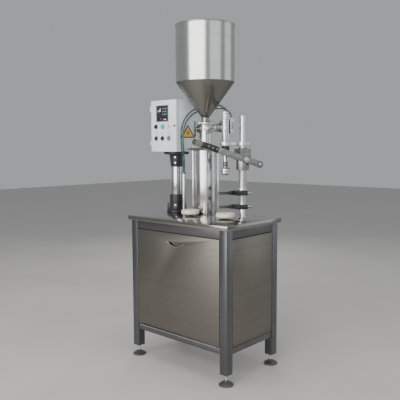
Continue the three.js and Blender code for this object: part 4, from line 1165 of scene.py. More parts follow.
# ---- cabinet ----
@dataclass
class Cabinet:
    """The legged frame, its panels, door and table top."""

    kit: Kit
    corners: tuple[str, ...] = ("front_left", "front_right", "back_left", "back_right")
    foot_bodies: tuple[str, ...] = ("foot_fl", "foot_fr", "foot_bl", "foot_br")
    pad_radius: float = 39.0
    stud_radius: float = 5.6
    stud_top: float = 104.6
    nut_low: float = 49.7
    nut_high: float = 59.7
    thread_radius: float = 6.2
    thread_pitch: float = 1.75
    thread_start: float = 26.0
    thread_count: int = 14
    knuckle_length: float = 24.0
    knuckle_pitch: float = 25.0

    def build_frame(self) -> None:
        """Makes the legs and both rail rings."""
        for corner in self.corners:
            refined(self.kit.shop, f"leg_{corner}", "machine", FRAME_STEEL, 2.4)
        for ring in ("upper_frame", "lower_frame"):
            refined(self.kit.shop, ring, "machine", RAIL_STEEL, 1.2)
        refined(self.kit.shop, "tabletop", "machine", TABLE_STEEL, 1.4)

    def build_panels(self) -> None:
        """Makes the fixed panels and the front door with its finger pull."""
        for panel in ("left_panel", "right_panel", "back_panel", "floor_panel"):
            refined(self.kit.shop, panel, "machine", SHEET_STEEL, 1.6)
        refined(self.kit.shop, "front_door", "door", SHEET_STEEL, 0.6)
        refined(self.kit.shop, "door_pull", "door", SHEET_STEEL, 0.3)
        self.build_pull_lip_painted_highlight()

    def build_pull_lip_painted_highlight(self) -> None:
        """Adds the rolled lip along the pull's lower edge, in bright steel though the pull is sheet steel: a
        painted highlight on a real edge.
        """
        low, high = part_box("door_pull")
        half = (high.x - low.x) / 2 / MM
        drop = (high.z - low.z) / MM
        radius = (half * half + drop * drop) / (2 * drop)
        reach = math.degrees(math.asin(half / radius))
        lower = arc((0.0, radius - drop), radius, -90.0 - reach, -90.0 + reach, 32)
        middle = (low + high) / 2
        place = stand(middle.x, low.y, high.z)
        solid = Solid(self.kit.shop, place)
        # The lip's bright steel, lighter than the pull's sheet steel, is a painted highlight.
        solid.sweep([(x, -0.6, z) for x, z in lower], 1.6, BRIGHT_STEEL)
        solid.piece("pull_lip_painted_highlight", "door", "bright_steel")

    def build_hinge(self) -> None:
        """Makes the door's long hinge from knuckles."""
        low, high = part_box("door_hinge")
        middle = (low + high) / 2
        length = (high.x - low.x) / MM
        count = int(length // self.knuckle_pitch)
        first = -(count - 1) / 2 * self.knuckle_pitch
        self.kit.repeats.barrel_row(
            "hinge_knuckles", [(first, 0.0, 0.0)], stand(middle.x, middle.y, middle.z), "machine",
            "bright_steel", (high.z - low.z) / 2 / MM, self.knuckle_length, (self.knuckle_pitch, 0.0, 0.0),
            count, (0.0, 90.0, 0.0), replaces=("door_hinge",))

    def build_feet(self) -> None:
        """Makes the four levelling feet with their lock nuts and threads."""
        pad = [
            (0.0, 0.0), (self.pad_radius - 2, 0.0), (self.pad_radius, 2.5), (self.pad_radius, 6.5),
            (self.pad_radius - 4, 9.5), (25.0, 16.5), (14.0, 20.0), (12.5, 25.0), (0.0, 25.0),
        ]
        for corner, body in zip(self.corners, self.foot_bodies):
            place = self.kit.site.on_floor(middle_of(f"foot_{corner}"))
            solid = Solid(self.kit.shop, place)
            solid.lathe(pad, FOOT_NYLON, soft=1.6)
            solid.rod(self.stud_radius, 24.0, self.stud_top, BRIGHT_STEEL)
            solid.prism(hexagon(22.0), self.nut_low, self.nut_high, BRIGHT_STEEL, bevel=0.7)
            solid.piece(f"fine_foot_{corner}", body, "foot_plastic", f"foot_{corner}")
            self.kit.repeats.barrel_row(
                f"foot_thread_{corner}", [(0.0, 0.0, self.thread_start)], place, body, "foot_plastic",
                self.thread_radius, self.thread_pitch * 0.5, (0.0, 0.0, self.thread_pitch), self.thread_count)


# ---- dosing cylinder, valve and hopper ----
@dataclass
class DosingUnit:
    """The dosing cylinder on its tie rods, its drive, the valve and the hopper."""

    kit: Kit
    radius: float = 63.5
    bore: float = 59.5
    height: float = 383.0
    plate_top: float = 395.3
    rod_radius: float = 7.0
    nut_corners: float = 22.0
    valve_axis: float = 508.0
    valve_radius: float = 36.0
    valve_top: float = 540.0
    ferrule_radius: float = 42.0
    barrel_radius: float = 21.0
    barrel_half: float = 42.0
    outlet_radius: float = 20.0
    outlet_bore: float = 17.0
    outlet_flange: float = 26.0
    outlet_stub: float = 64.0
    nozzle_inlet: float = 46.3
    neck_radius: float = 23.0
    cone_bottom: float = 575.0
    shoulder: float = 780.0
    rim: float = 1108.0
    hopper_radius: float = 174.0
    hopper_wall: float = 3.0
    ferrule_seat: float = 540.3
    ferrule_face: float = 546.5
    neck_foot: float = 552.0
    bead: float = 4.0
    seam_lap: float = 0.6
    clamp_low: float = 529.7
    clamp_high: float = 550.6
    clamp_inner: float = 42.3
    clamp_lip: float = 49.5
    clamp_outer: float = 54.3
    clamp_turns: tuple[float, float] = (-58.0, 122.0)
    places: Matrix = field(init=False)
    valve: Matrix = field(init=False)

    def __post_init__(self) -> None:
        """Sets the upright frame and the one that faces the nozzle."""
        site = self.kit.site
        self.places = site.on_table(site.dosing)
        self.valve = site.on_table(site.dosing, site.nozzle)

    def build_cylinder(self) -> None:
        """Makes the dosing cylinder and the plate over it."""
        solid = Solid(self.kit.shop, self.places)
        solid.ring(self.radius, self.bore, 0.3, self.height, CYLINDER_STEEL, sides=FINE_SIDES)
        solid.piece("fine_dosing_cylinder", "machine", "bright_steel", "dosing_cylinder")
        refined(self.kit.shop, "top_plate", "machine", TABLE_STEEL, 1.6)

    def build_tie_rods(self) -> None:
        """Makes the four tie rods with their domed nuts, washers and lower nuts."""
        for corner in ("front_left", "front_right", "back_left", "back_right"):
            middle = middle_of(f"tie_rod_{corner}")
            solid = Solid(self.kit.shop, self.kit.site.on_table(middle))
            seat = self.plate_top + 0.3
            solid.rod(self.rod_radius, -16.3, seat + 9.0, BRIGHT_STEEL, sides=64)
            solid.ring(11.0, self.rod_radius, seat, seat + 1.6, BRIGHT_STEEL, sides=48, soft=0.3)
            solid.prism(hexagon(self.nut_corners), seat + 1.6, seat + 9.0, BRIGHT_STEEL, bevel=0.7)
            solid.lathe(
                [(0.0, seat + 8.5), (8.6, seat + 8.5), (8.2, seat + 10.5), (5.8, seat + 12.4),
                 (0.0, seat + 13.0)], BRIGHT_STEEL, sides=48)
            solid.prism(hexagon(self.nut_corners), -16.3, -3.3, BRIGHT_STEEL, bevel=0.7)
            solid.piece(f"fine_tie_rod_{corner}", "machine", "bright_steel", f"tie_rod_{corner}")

    def build_drive(self) -> None:
        """Makes the piston, its rod and the air cylinder that drives it."""
        solid = Solid(self.kit.shop, self.places)
        solid.lathe(
            [(0.0, 6.0), (59.0, 6.0), (59.0, 32.0), (56.0, 32.0), (56.0, 35.0), (59.0, 35.0), (59.0, 46.0),
             (0.0, 46.0)], CREAM_PLASTIC, soft=0.5)
        solid.piece("fine_dosing_piston", "dosing_rod", "cream_plastic", "dosing_piston")
        solid = Solid(self.kit.shop, self.places)
        solid.lathe(
            [(0.0, -353.0), (36.5, -353.0), (36.5, -329.0), (12.5, -329.0), (12.5, 5.7), (0.0, 5.7)],
            BRIGHT_STEEL, sides=64)
        solid.piece("fine_piston_rod", "dosing_rod", "bright_steel", "piston_rod")
        solid = Solid(self.kit.shop, self.places)
        solid.lathe(
            [(13.0, -3.3), (13.0, -17.3), (37.0, -17.3), (37.0, -365.0), (13.0, -365.0), (13.0, -379.0),
             (42.0, -379.0), (42.0, -365.0), (40.0, -363.0), (40.0, -32.0), (42.0, -30.0), (42.0, -17.3),
             (56.0, -17.3), (56.0, -3.3)], DRIVE_ALUMINIUM, closed=True)
        solid.rod(13.0, -379.0, -366.0, DRIVE_ALUMINIUM)
        solid.rod(7.0, -12.0, 12.0, BRIGHT_STEEL, at=(36.0, 0.0, -372.0), axis=Axis.X)
        solid.piece("fine_drive_cylinder", "machine", "drive_aluminium", "drive_cylinder")

    def build_valve(self) -> None:
        """Makes the valve body, with its clamp rings, and the plug's shaft and hand lever."""
        seat = self.plate_top + 0.3
        axis = self.valve_axis
        solid = Solid(self.kit.shop, self.valve)
        solid.lathe(
            [(0.0, seat), (41.0, seat), (41.0, seat + 9.0), (self.valve_radius, seat + 12.0),
             (self.valve_radius, 532.0), (self.ferrule_radius, 533.5), (self.ferrule_radius, self.valve_top),
             (0.0, self.valve_top)], BRIGHT_STEEL, sides=128, soft=1.2)
        solid.rod(
            self.barrel_radius, -self.barrel_half, self.barrel_half, BRIGHT_STEEL,
            (0.0, 0.0, axis), Axis.Y, 64)
        solid.ring(
            self.barrel_radius + 5, self.barrel_radius - 3, -self.barrel_half, -self.barrel_half + 9,
            BRIGHT_STEEL, (0.0, 0.0, axis), Axis.Y)
        solid.ring(
            self.barrel_radius + 4, self.barrel_radius - 3, self.barrel_half - 9, self.barrel_half,
            BRIGHT_STEEL, (0.0, 0.0, axis), Axis.Y)
        solid.rod(
            10.0, self.barrel_half, self.barrel_half + 4, BRIGHT_STEEL, (0.0, 0.0, axis), Axis.Y)
        solid.ring(
            self.outlet_radius, self.outlet_bore, 20.0, self.outlet_stub, BRIGHT_STEEL,
            (0.0, 0.0, axis), Axis.X)
        solid.piece("fine_valve_body", "machine", "bright_steel", "valve_body")
        self.build_clamp("valve_outlet_clamp", self.outlet_stub, BRIGHT_STEEL)
        solid = Solid(self.kit.shop, self.valve)
        solid.rod(self.barrel_radius, -50.3, -42.3, MACHINED_STEEL, (0.0, 0.0, axis), Axis.Y, 64)
        solid.rod(9.0, -74.0, -50.0, BRIGHT_STEEL, (0.0, 0.0, axis), Axis.Y)
        lever = slab((-8.0, -46.0), (8.0, 46.0))
        upright = moved(0.0, -67.0, axis) @ Matrix.Rotation(math.pi / 2, 4, "X")
        solid.prism(lever, -5.0, 5.0, MACHINED_STEEL, upright, 2.0)
        solid.prism(disc_outline(13.0, 48), -6.0, 6.0, MACHINED_STEEL, upright, 1.0)
        solid.prism(hexagon(17.0), 6.0, 10.0, BRIGHT_STEEL, upright)
        solid.piece("fine_valve_plug", "valve_gate", "machined_steel", "valve_plug")

    def build_clamp(self, name: str, joint: float, finish: Finish) -> None:
        """Adds a clamp ring round a joint in the outlet line.

        Args:
            name: the piece's name.
            joint: how far along the line the joint is.
            finish: its finish.
        """
        solid = Solid(self.kit.shop, self.valve)
        at = (0.0, 0.0, self.valve_axis)
        flange = self.outlet_flange
        solid.lathe(
            [(self.outlet_bore + 1, joint - 7), (flange - 3, joint - 7), (flange + 1.5, joint - 3.5),
             (flange + 1.5, joint + 3.8), (flange - 3, joint + 7.3), (self.outlet_bore + 1, joint + 7.3)],
            finish, at, Axis.X, closed=True)
        solid.box(
            (joint - 5, -6, self.valve_axis + flange), (joint + 5, 6, self.valve_axis + flange + 10), finish)
        solid.rod(3.0, -16.0, 16.0, BRIGHT_STEEL, (joint, 0.0, self.valve_axis + flange + 5), Axis.Y)
        solid.box(
            (joint - 10, -18, self.valve_axis + flange + 2), (joint + 10, -13, self.valve_axis + flange + 8),
            BRIGHT_STEEL, 1.5)
        solid.piece(name, "machine", "bright_steel")

    def build_hopper(self) -> None:
        """Makes the hopper, a cone with a rolled shell welded on it, and the clamp under it."""
        outside, inside = self.hopper_radius, self.hopper_radius - self.hopper_wall
        bore = self.neck_radius - self.hopper_wall
        solid = Solid(self.kit.shop, self.valve)
        # The cone takes the darker steel, a painted shade on its downward-facing side.
        solid.lathe(
            [(bore, self.ferrule_seat), (self.ferrule_radius, self.ferrule_seat),
             (self.ferrule_radius, self.ferrule_face), (30.0, 549.0), (self.neck_radius, self.neck_foot),
             (self.neck_radius, self.cone_bottom), (outside, self.shoulder), (inside, self.shoulder),
             (bore, self.cone_bottom)],
            CONE_STEEL_PAINTED_SHADE, sides=FINE_SIDES, soft=0.6, closed=True)
        rim, lap, bead = self.rim, self.shoulder - self.seam_lap, self.bead
        solid.lathe(
            [(outside, lap), (outside, rim - 2 * bead), (outside + 3, rim - 7), (outside + bead, rim - bead),
             (outside + 3, rim - 1), (outside, rim), (inside, rim), (inside, lap)],
            HOPPER_STEEL, sides=FINE_SIDES, soft=0.6, closed=True)
        solid.piece("fine_hopper", "machine", "hopper_steel", "hopper")
        low, high, lip = self.clamp_low, self.clamp_high, self.clamp_lip
        solid = Solid(self.kit.shop, self.valve)
        solid.lathe(
            [(self.clamp_inner, low), (lip, low), (self.clamp_outer, low + 5), (self.clamp_outer, high - 5),
             (lip, high), (self.clamp_inner, high)], BRIGHT_STEEL, closed=True, soft=1.2)
        middle = (low + high) / 2
        for turn in self.clamp_turns:
            swung = Matrix.Rotation(math.radians(turn), 4, "Z")
            solid.box((50.0, -9.0, low + 3), (66.0, -2.0, high - 3), BRIGHT_STEEL, 1.5, swung)
            solid.box((50.0, 2.0, low + 3), (66.0, 9.0, high - 3), BRIGHT_STEEL, 1.5, swung)
            bolt = swung @ moved(59.0, 0.0, middle)
            solid.rod(3.5, -20.0, 24.0, BRIGHT_STEEL, axis=Axis.Y, turn=bolt)
            solid.prism(hexagon(14.0), 9.5, 15.0, BRIGHT_STEEL, bolt @ Matrix.Rotation(math.pi / 2, 4, "X"))
            solid.box((-11.0, 16.0, -3.0), (11.0, 22.0, 3.0), BRIGHT_STEEL, 1.2, bolt)
        solid.piece("fine_hopper_clamp", "machine", "bright_steel", "hopper_clamp")

    def build_outlet(self) -> None:
        """Makes the pipe from the valve to the nozzle, with the dark clamp at its far end."""
        distance = (self.kit.site.nozzle - self.kit.site.dosing).xy.length / MM
        end = distance - self.nozzle_inlet
        start = self.outlet_stub + 0.3
        at = (0.0, 0.0, self.valve_axis)
        solid = Solid(self.kit.shop, self.valve)
        solid.ring(self.outlet_radius, self.outlet_bore, start, end, BRIGHT_STEEL, at, Axis.X)
        solid.ring(
            self.outlet_radius + 3.5, self.outlet_radius - 1, end - 62, end - 50, BRIGHT_STEEL, at, Axis.X)
        solid.piece("fine_outlet_pipe", "machine", "bright_steel", "outlet_pipe")
        self.build_clamp("nozzle_inlet_clamp", end, DARK_STEEL)


# ---- nozzle ----
@dataclass
class Nozzle:
    """The filling head with its shut-off cylinder and the sprung tube that follows the lever."""

    kit: Kit
    head_radius: float = 21.5
    head_low: float = 425.0
    head_high: float = 550.0
    inlet: float = 46.0
    inlet_height: float = 508.0
    gland_radius: float = 23.5
    gland_height: float = 45.0
    stem_radius: float = 10.0
    stem_bore: float = 6.0
    stem_top: float = 490.0
    tip_radius: float = 25.0
    tip_low: float = 247.0
    tip_high: float = 287.0
    cylinder_radius: float = 20.0
    cylinder_top: float = 590.3
    place: Matrix = field(init=False)

    def __post_init__(self) -> None:
        """Turns the nozzle's X away from the dosing cylinder."""
        site = self.kit.site
        turn = math.atan2(site.nozzle.y - site.dosing.y, site.nozzle.x - site.dosing.x)
        self.place = stand(site.nozzle.x, site.nozzle.y, site.table_top, turn)

    def build_head(self) -> None:
        """Makes the head with its inlet branch, and the black gland under it."""
        low, high, radius = self.head_low, self.head_high, self.head_radius
        bore = self.stem_radius + 1.5
        solid = Solid(self.kit.shop, self.place)
        solid.lathe(
            [(bore, low), (radius, low), (radius, 486.0), (radius + 1.6, 487.5), (radius + 1.6, 492.0),
             (radius, 493.5), (radius, 536.0), (radius + 1.6, 537.5), (radius + 1.6, high - 1), (bore, high)],
            BRIGHT_STEEL, closed=True, soft=1.0)
        solid.ring(20.0, 17.0, -self.inlet, -14.0, BRIGHT_STEEL, (0.0, 0.0, self.inlet_height), Axis.X)
        solid.piece("fine_nozzle_head", "machine", "bright_steel", "nozzle_head")
        top = low - 0.3
        foot = top - self.gland_height
        solid = Solid(self.kit.shop, self.place)
        solid.lathe(
            [(bore, foot), (self.gland_radius - 4, foot), (self.gland_radius, foot + 6),
             (self.gland_radius, foot + 18), (self.gland_radius - 2, foot + 19.5),
             (self.gland_radius - 2, foot + 24), (self.gland_radius, foot + 25.5), (self.gland_radius, top),
             (bore, top)], BLACK_FITTING, closed=True, soft=1.0)
        solid.piece("fine_nozzle_gland", "machine", "black_fitting", "nozzle_gland")

    def build_tube(self) -> None:
        """Makes the sliding tube with its dark ring and chamfered tip, and the pin inside it."""
        low, high, radius, stem = self.tip_low, self.tip_high, self.tip_radius, self.stem_radius
        solid = Solid(self.kit.shop, self.place)
        solid.lathe(
            [(self.stem_bore, low), (radius - 6, low), (radius, low + 8), (radius, high - 7),
             (radius - 5, high), (stem, high + 2), (stem, self.stem_top), (self.stem_bore, self.stem_top)],
            BRIGHT_STEEL, closed=True, soft=1.0)
        solid.ring(radius + 0.6, radius - 4, low + 17, low + 20, MACHINED_STEEL)
        solid.ring(12.0, stem - 1, 292.0, 320.0, DARK_STEEL, soft=1.2)
        solid.ring(13.5, stem - 1, 300.0, 305.0, DARK_STEEL, soft=1.0)
        solid.piece("fine_nozzle_tube", "lever_carriage", "bright_steel", "nozzle_tube")
        solid = Solid(self.kit.shop, self.place)
        solid.lathe(
            [(0.0, low + 1), (3.0, low + 1), (3.0, 554.3), (16.5, 554.3), (16.5, 562.3), (0.0, 562.3)],
            BRIGHT_STEEL, sides=48)
        solid.piece("fine_shutoff_pin", "nozzle_pin", "bright_steel", "shutoff_pin")

    def build_cylinder(self) -> None:
        """Makes the shut-off air cylinder, its pilot block and the fittings that the hoses end in."""
        seat = self.head_high + 0.3
        top = self.cylinder_top
        radius = self.cylinder_radius
        solid = Solid(self.kit.shop, self.place)
        solid.lathe(
            [(3.6, seat), (radius, seat), (radius, seat + 8), (radius - 2, seat + 10), (radius - 2, top - 10),
             (radius, top - 8), (radius, top), (0.0, top), (0.0, top - 3), (17.0, top - 3), (17.0, seat + 3),
             (3.6, seat + 3)], CAST_ALUMINIUM, soft=0.8, closed=True)
        solid.box((-14.0, 12.0, seat), (14.0, 24.0, seat + 6), CAST_ALUMINIUM)
        solid.box((-14.0, 24.5, seat - 78.0), (14.0, 49.5, seat + 6.0), CAST_ALUMINIUM, 2.5)
        solid.box((-12.0, 22.5, seat - 76.0), (12.0, 25.0, seat - 2.0), GRIP_CAP, 0.6)
        solid.box((-14.6, 30.0, seat - 52.0), (14.6, 44.0, seat - 14.0), LEGEND_GREY, 0.8)
        solid.rod(6.0, seat + 5, seat + 9, BRIGHT_STEEL, (0.0, 37.0, 0.0), sides=32)
        solid.sweep(
            [(0.0, 0.0, top - 2), (0.0, 0.0, top + 3)], 6.5, BRIGHT_STEEL, 6)
        solid.piece("fine_nozzle_air_cylinder", "machine", "actuator_body", "nozzle_air_cylinder")
        self.kit.repeats.cap_screws(
            "pilot_screws", [(x, 49.0, z) for x in (-9.0, 9.0) for z in (seat - 70.0, seat - 2.0)],
            self.place, "machine", "bright_steel", 2.6, 2.0, (-90.0, 0.0, 0.0))


# ---- column, lever and guides ----
@dataclass
class SpringLever:
    """The column, the carriage and lever that ride it on a spring, and the two container guides."""

    kit: Kit
    radius: float = 17.5
    height: float = 575.0
    bore: float = 18.0
    carriage_half: float = 35.0
    carriage_low: float = 329.0
    carriage_high: float = 391.0
    sleeve_radius: float = 36.5
    sleeve_low: float = 273.0
    lever_height: float = 33.0
    lever_middle: float = 42.1
    lever_half: float = 5.0
    lever_rise: float = 17.3
    lever_tail: float = 91.0
    lever_reach: float = 185.0
    tail_radius: float = 20.0
    holder_length: float = 104.0
    holder_half: float = 11.0
    grip_radius: float = 16.5
    grip_length: float = 52.0
    yoke_low: float = 353.7
    yoke_high: float = 377.7
    yoke_radius: float = 18.0
    spring_low: float = 167.3
    spring_high: float = 272.7
    spring_travel: float = 60.0
    coil_radius: float = 23.0
    wire_radius: float = 2.4
    coil_turns: float = 11.0
    guide_height: float = 26.0
    place: Matrix = field(init=False)
    distance: float = field(init=False)

    def __post_init__(self) -> None:
        """Turns the column's X to face the nozzle."""
        site = self.kit.site
        self.place = site.on_table(site.column, site.nozzle)
        self.distance = (site.nozzle - site.column).xy.length / MM

    def build_column(self) -> None:
        """Makes the column with its base ring and the stop ring under the spring."""
        radius = self.radius
        solid = Solid(self.kit.shop, self.place)
        solid.lathe(
            [(0.0, 0.3), (24.0, 0.3), (24.0, 5.5), (20.0, 8.0), (radius, 8.0), (radius, 157.0), (27.0, 157.0),
             (27.0, 167.0), (radius, 167.0), (radius, self.height - 2), (radius - 2, self.height),
             (0.0, self.height)], BRIGHT_STEEL, soft=0.7)
        solid.piece("fine_column_rod", "machine", "bright_steel", "column_rod")

    def build_top_clamp(self) -> None:
        """Makes the clamp that holds the nozzle off the column."""
        low, high = 405.0, 427.0
        solid = Solid(self.kit.shop, self.place)
        solid.ring(27.8, 17.6, low, high, BRIGHT_STEEL, soft=1.2)
        solid.ring(33.8, 23.6, low, high, BRIGHT_STEEL, (self.distance, 0.0, 0.0), soft=1.2)
        solid.box((24.0, -10.0, low + 1), (self.distance - 30.0, 10.0, high - 1), BRIGHT_STEEL, 1.5)
        solid.box((-46.0, -10.0, low), (-24.0, -1.5, high), BRIGHT_STEEL, 1.2)
        solid.box((-46.0, 1.5, low), (-24.0, 10.0, high), BRIGHT_STEEL, 1.2)
        solid.rod(4.0, -16.0, 16.0, BRIGHT_STEEL, (-38.0, 0.0, 416.0), Axis.Y)
        solid.piece("fine_top_clamp", "machine", "bright_steel", "top_clamp")

    def build_carriage(self) -> None:
        """Makes the sliding block and its sleeve."""
        half = self.carriage_half
        solid = Solid(self.kit.shop, self.place)
        solid.bored(
            slab((-half, -half), (half, half)), self.bore, self.carriage_low, self.carriage_high,
            MACHINED_STEEL, bevel=2.0)
        solid.ring(self.sleeve_radius, self.bore, self.sleeve_low, self.carriage_low + 1, MACHINED_STEEL)
        solid.ring(24.0, self.bore, self.carriage_high - 1, self.carriage_high + 6, MACHINED_STEEL)
        solid.piece("fine_carriage_block", "lever_carriage", "machined_steel", "carriage_block")
        self.kit.repeats.cap_screws(
            "carriage_screws", [(x, -half, z) for x in (-22.0, 22.0) for z in (343.0, 377.0)], self.place,
            "lever_carriage", "machined_steel", 4.5, 3.5, (90.0, 0.0, 0.0))

    def on_lever(self) -> Matrix:
        """The frame laid along the lever: X along it, Y up it and Z out of its side."""
        tipped = Matrix.Rotation(-math.radians(self.lever_rise), 4, "Y")
        flat = Matrix.Rotation(math.pi / 2, 4, "X")
        return moved(0.0, self.lever_middle, self.carriage_low) @ tipped @ flat

    def build_lever(self) -> None:
        """Makes the flat lever, its round tail, the pivot boss and the yoke on the nozzle tube."""
        half = self.lever_height / 2
        tail = -self.lever_tail
        outline = (
            [(self.lever_reach, half)] + arc((tail, 0.0), self.tail_radius, 60.0, 300.0, 24)
            + [(self.lever_reach, -half)])
        solid = Solid(self.kit.shop, self.place)
        along = self.on_lever()
        solid.prism(outline, -self.lever_half, self.lever_half, MACHINED_STEEL, along, 1.2)
        solid.prism(disc_outline(16.0, 64), -8.0, 8.0, BRIGHT_STEEL, along, 1.2)
        solid.prism(hexagon(20.0), -13.0, -8.0, BRIGHT_STEEL, along)
        solid.prism(disc_outline(9.0, 48, (tail, 0.0)), -9.0, 9.0, BRIGHT_STEEL, along, 1.0)
        reach = self.distance
        solid.ring(
            self.yoke_radius, 10.3, self.yoke_low, self.yoke_high, MACHINED_STEEL,
            (reach, 0.0, 0.0), soft=1.2)
        solid.box(
            (reach - self.yoke_radius, 13.0, self.yoke_low), (reach + self.yoke_radius, 38.1, self.yoke_high),
            MACHINED_STEEL, 1.5)
        solid.piece("fine_lever_arm", "lever_carriage", "machined_steel", "lever_arm")

    def build_grip(self) -> None:
        """Makes the black holder with its three bolts, and the grip with its end cap."""
        along = self.on_lever()
        start = self.lever_reach + 0.3
        end = start + self.holder_length
        half = self.lever_height / 2
        solid = Solid(self.kit.shop, self.place)
        solid.prism(
            slab((start, -half), (end, half)), -self.holder_half, self.holder_half, BLACK_FITTING, along, 3.0)
        laid = along @ Matrix.Rotation(math.pi / 2, 4, "Y")
        tip = end + self.grip_length
        solid.lathe(
            [(0.0, end - 2), (14.0, end - 2), (16.0, end + 4), (self.grip_radius, end + 20),
             (self.grip_radius, tip - 12), (15.0, tip - 9), (0.0, tip - 9)], GRIP_PLASTIC, turn=laid)
        solid.lathe(
            [(0.0, tip - 10), (15.4, tip - 10), (15.4, tip - 3), (11.0, tip), (0.0, tip)],
            GRIP_CAP, turn=laid)
        solid.piece("fine_lever_grip", "lever_carriage", "grip_plastic", "lever_grip")
        spots = [(start + 14.0 + 26.0 * step, 0.0, -self.holder_half) for step in range(3)]
        self.kit.repeats.cap_screws(
            "holder_screws", spots, self.place @ along, "lever_carriage", "bright_steel", 6.5, 5.0,
            (180.0, 0.0, 0.0), MACHINED_STEEL)

    def build_spring(self) -> None:
        """Makes the coil spring as one fixed mesh; the real spring shortens as the carriage comes down."""
        wire = self.wire_radius
        length = self.spring_high - self.spring_low
        mesh = self.kit.repeats.grow(
            self.kit.repeats.spring, [(0.0, 0.0, self.spring_low + wire)], self.place, BRIGHT_STEEL,
            Coil_Radius=self.coil_radius, Wire_Radius=wire, Height=length - 2 * wire, Turns=self.coil_turns)
        spring = finished_piece("coil_spring", mesh, "machine", ("return_spring",))
        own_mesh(spring)

    def build_guides(self) -> None:
        """Makes the two clamps with their side rods, which stop a container at the right place."""
        for name, body, low in (("upper_guide", "upper_stop", 129.0), ("lower_guide", "lower_stop", 51.0)):
            high = low + self.guide_height
            middle = (low + high) / 2
            solid = Solid(self.kit.shop, self.place)
            outline = slab((-23.0, -49.0), (40.0, 22.0))
            solid.bored(outline, self.bore, low, high, BLACK_FITTING, bevel=2.5)
            solid.box((38.0, -49.5, low + 2), (62.0, -28.0, high - 2), BLACK_FITTING, 2.0)
            solid.rod(7.5, 60.0, 126.0, DARK_STEEL, (0.0, -42.0, middle), Axis.X)
            solid.rod(8.5, -54.0, -22.0, BRIGHT_STEEL, (0.0, 0.0, middle), Axis.X)
            solid.rod(10.0, -54.0, -44.0, BRIGHT_STEEL, (0.0, 0.0, middle), Axis.X)
            solid.piece(f"fine_{name}", body, "black_fitting", name)


# ---- rest discs ----
@dataclass
class RestDiscs:
    """The two turning discs that containers stand on."""

    kit: Kit
    radius: float = 53.0
    low: float = 12.0
    high: float = 35.0
    stud_radius: float = 8.0
    foot_radius: float = 18.0

    def build(self, name: str, axis: Vector, body: str) -> None:
        """Makes one disc on its bright stud.

        Args:
            name: the disc's solid.
            axis: where its stud stands.
            body: the body that it turns with.
        """
        solid = Solid(self.kit.shop, self.kit.site.on_table(axis))
        low, high, radius = self.low, self.high, self.radius
        solid.lathe(
            [(0.0, low), (radius - 4, low), (radius, low + 4), (radius, high - 3), (radius - 2.5, high),
             (radius - 8, high), (radius - 9, high - 0.8), (0.0, high - 0.8)], CREAM_PLASTIC, sides=128)
        solid.lathe(
            [(0.0, 0.3), (self.foot_radius, 0.3), (self.foot_radius - 2, 2.5), (self.stud_radius, 8.0),
             (self.stud_radius, low + 0.5), (0.0, low + 0.5)], BRIGHT_STEEL)
        solid.rod(5.0, high - 1.0, high - 0.2, BRIGHT_STEEL, sides=32, soft=0.3)
        solid.piece(f"fine_{name}", body, "cream_plastic", name)


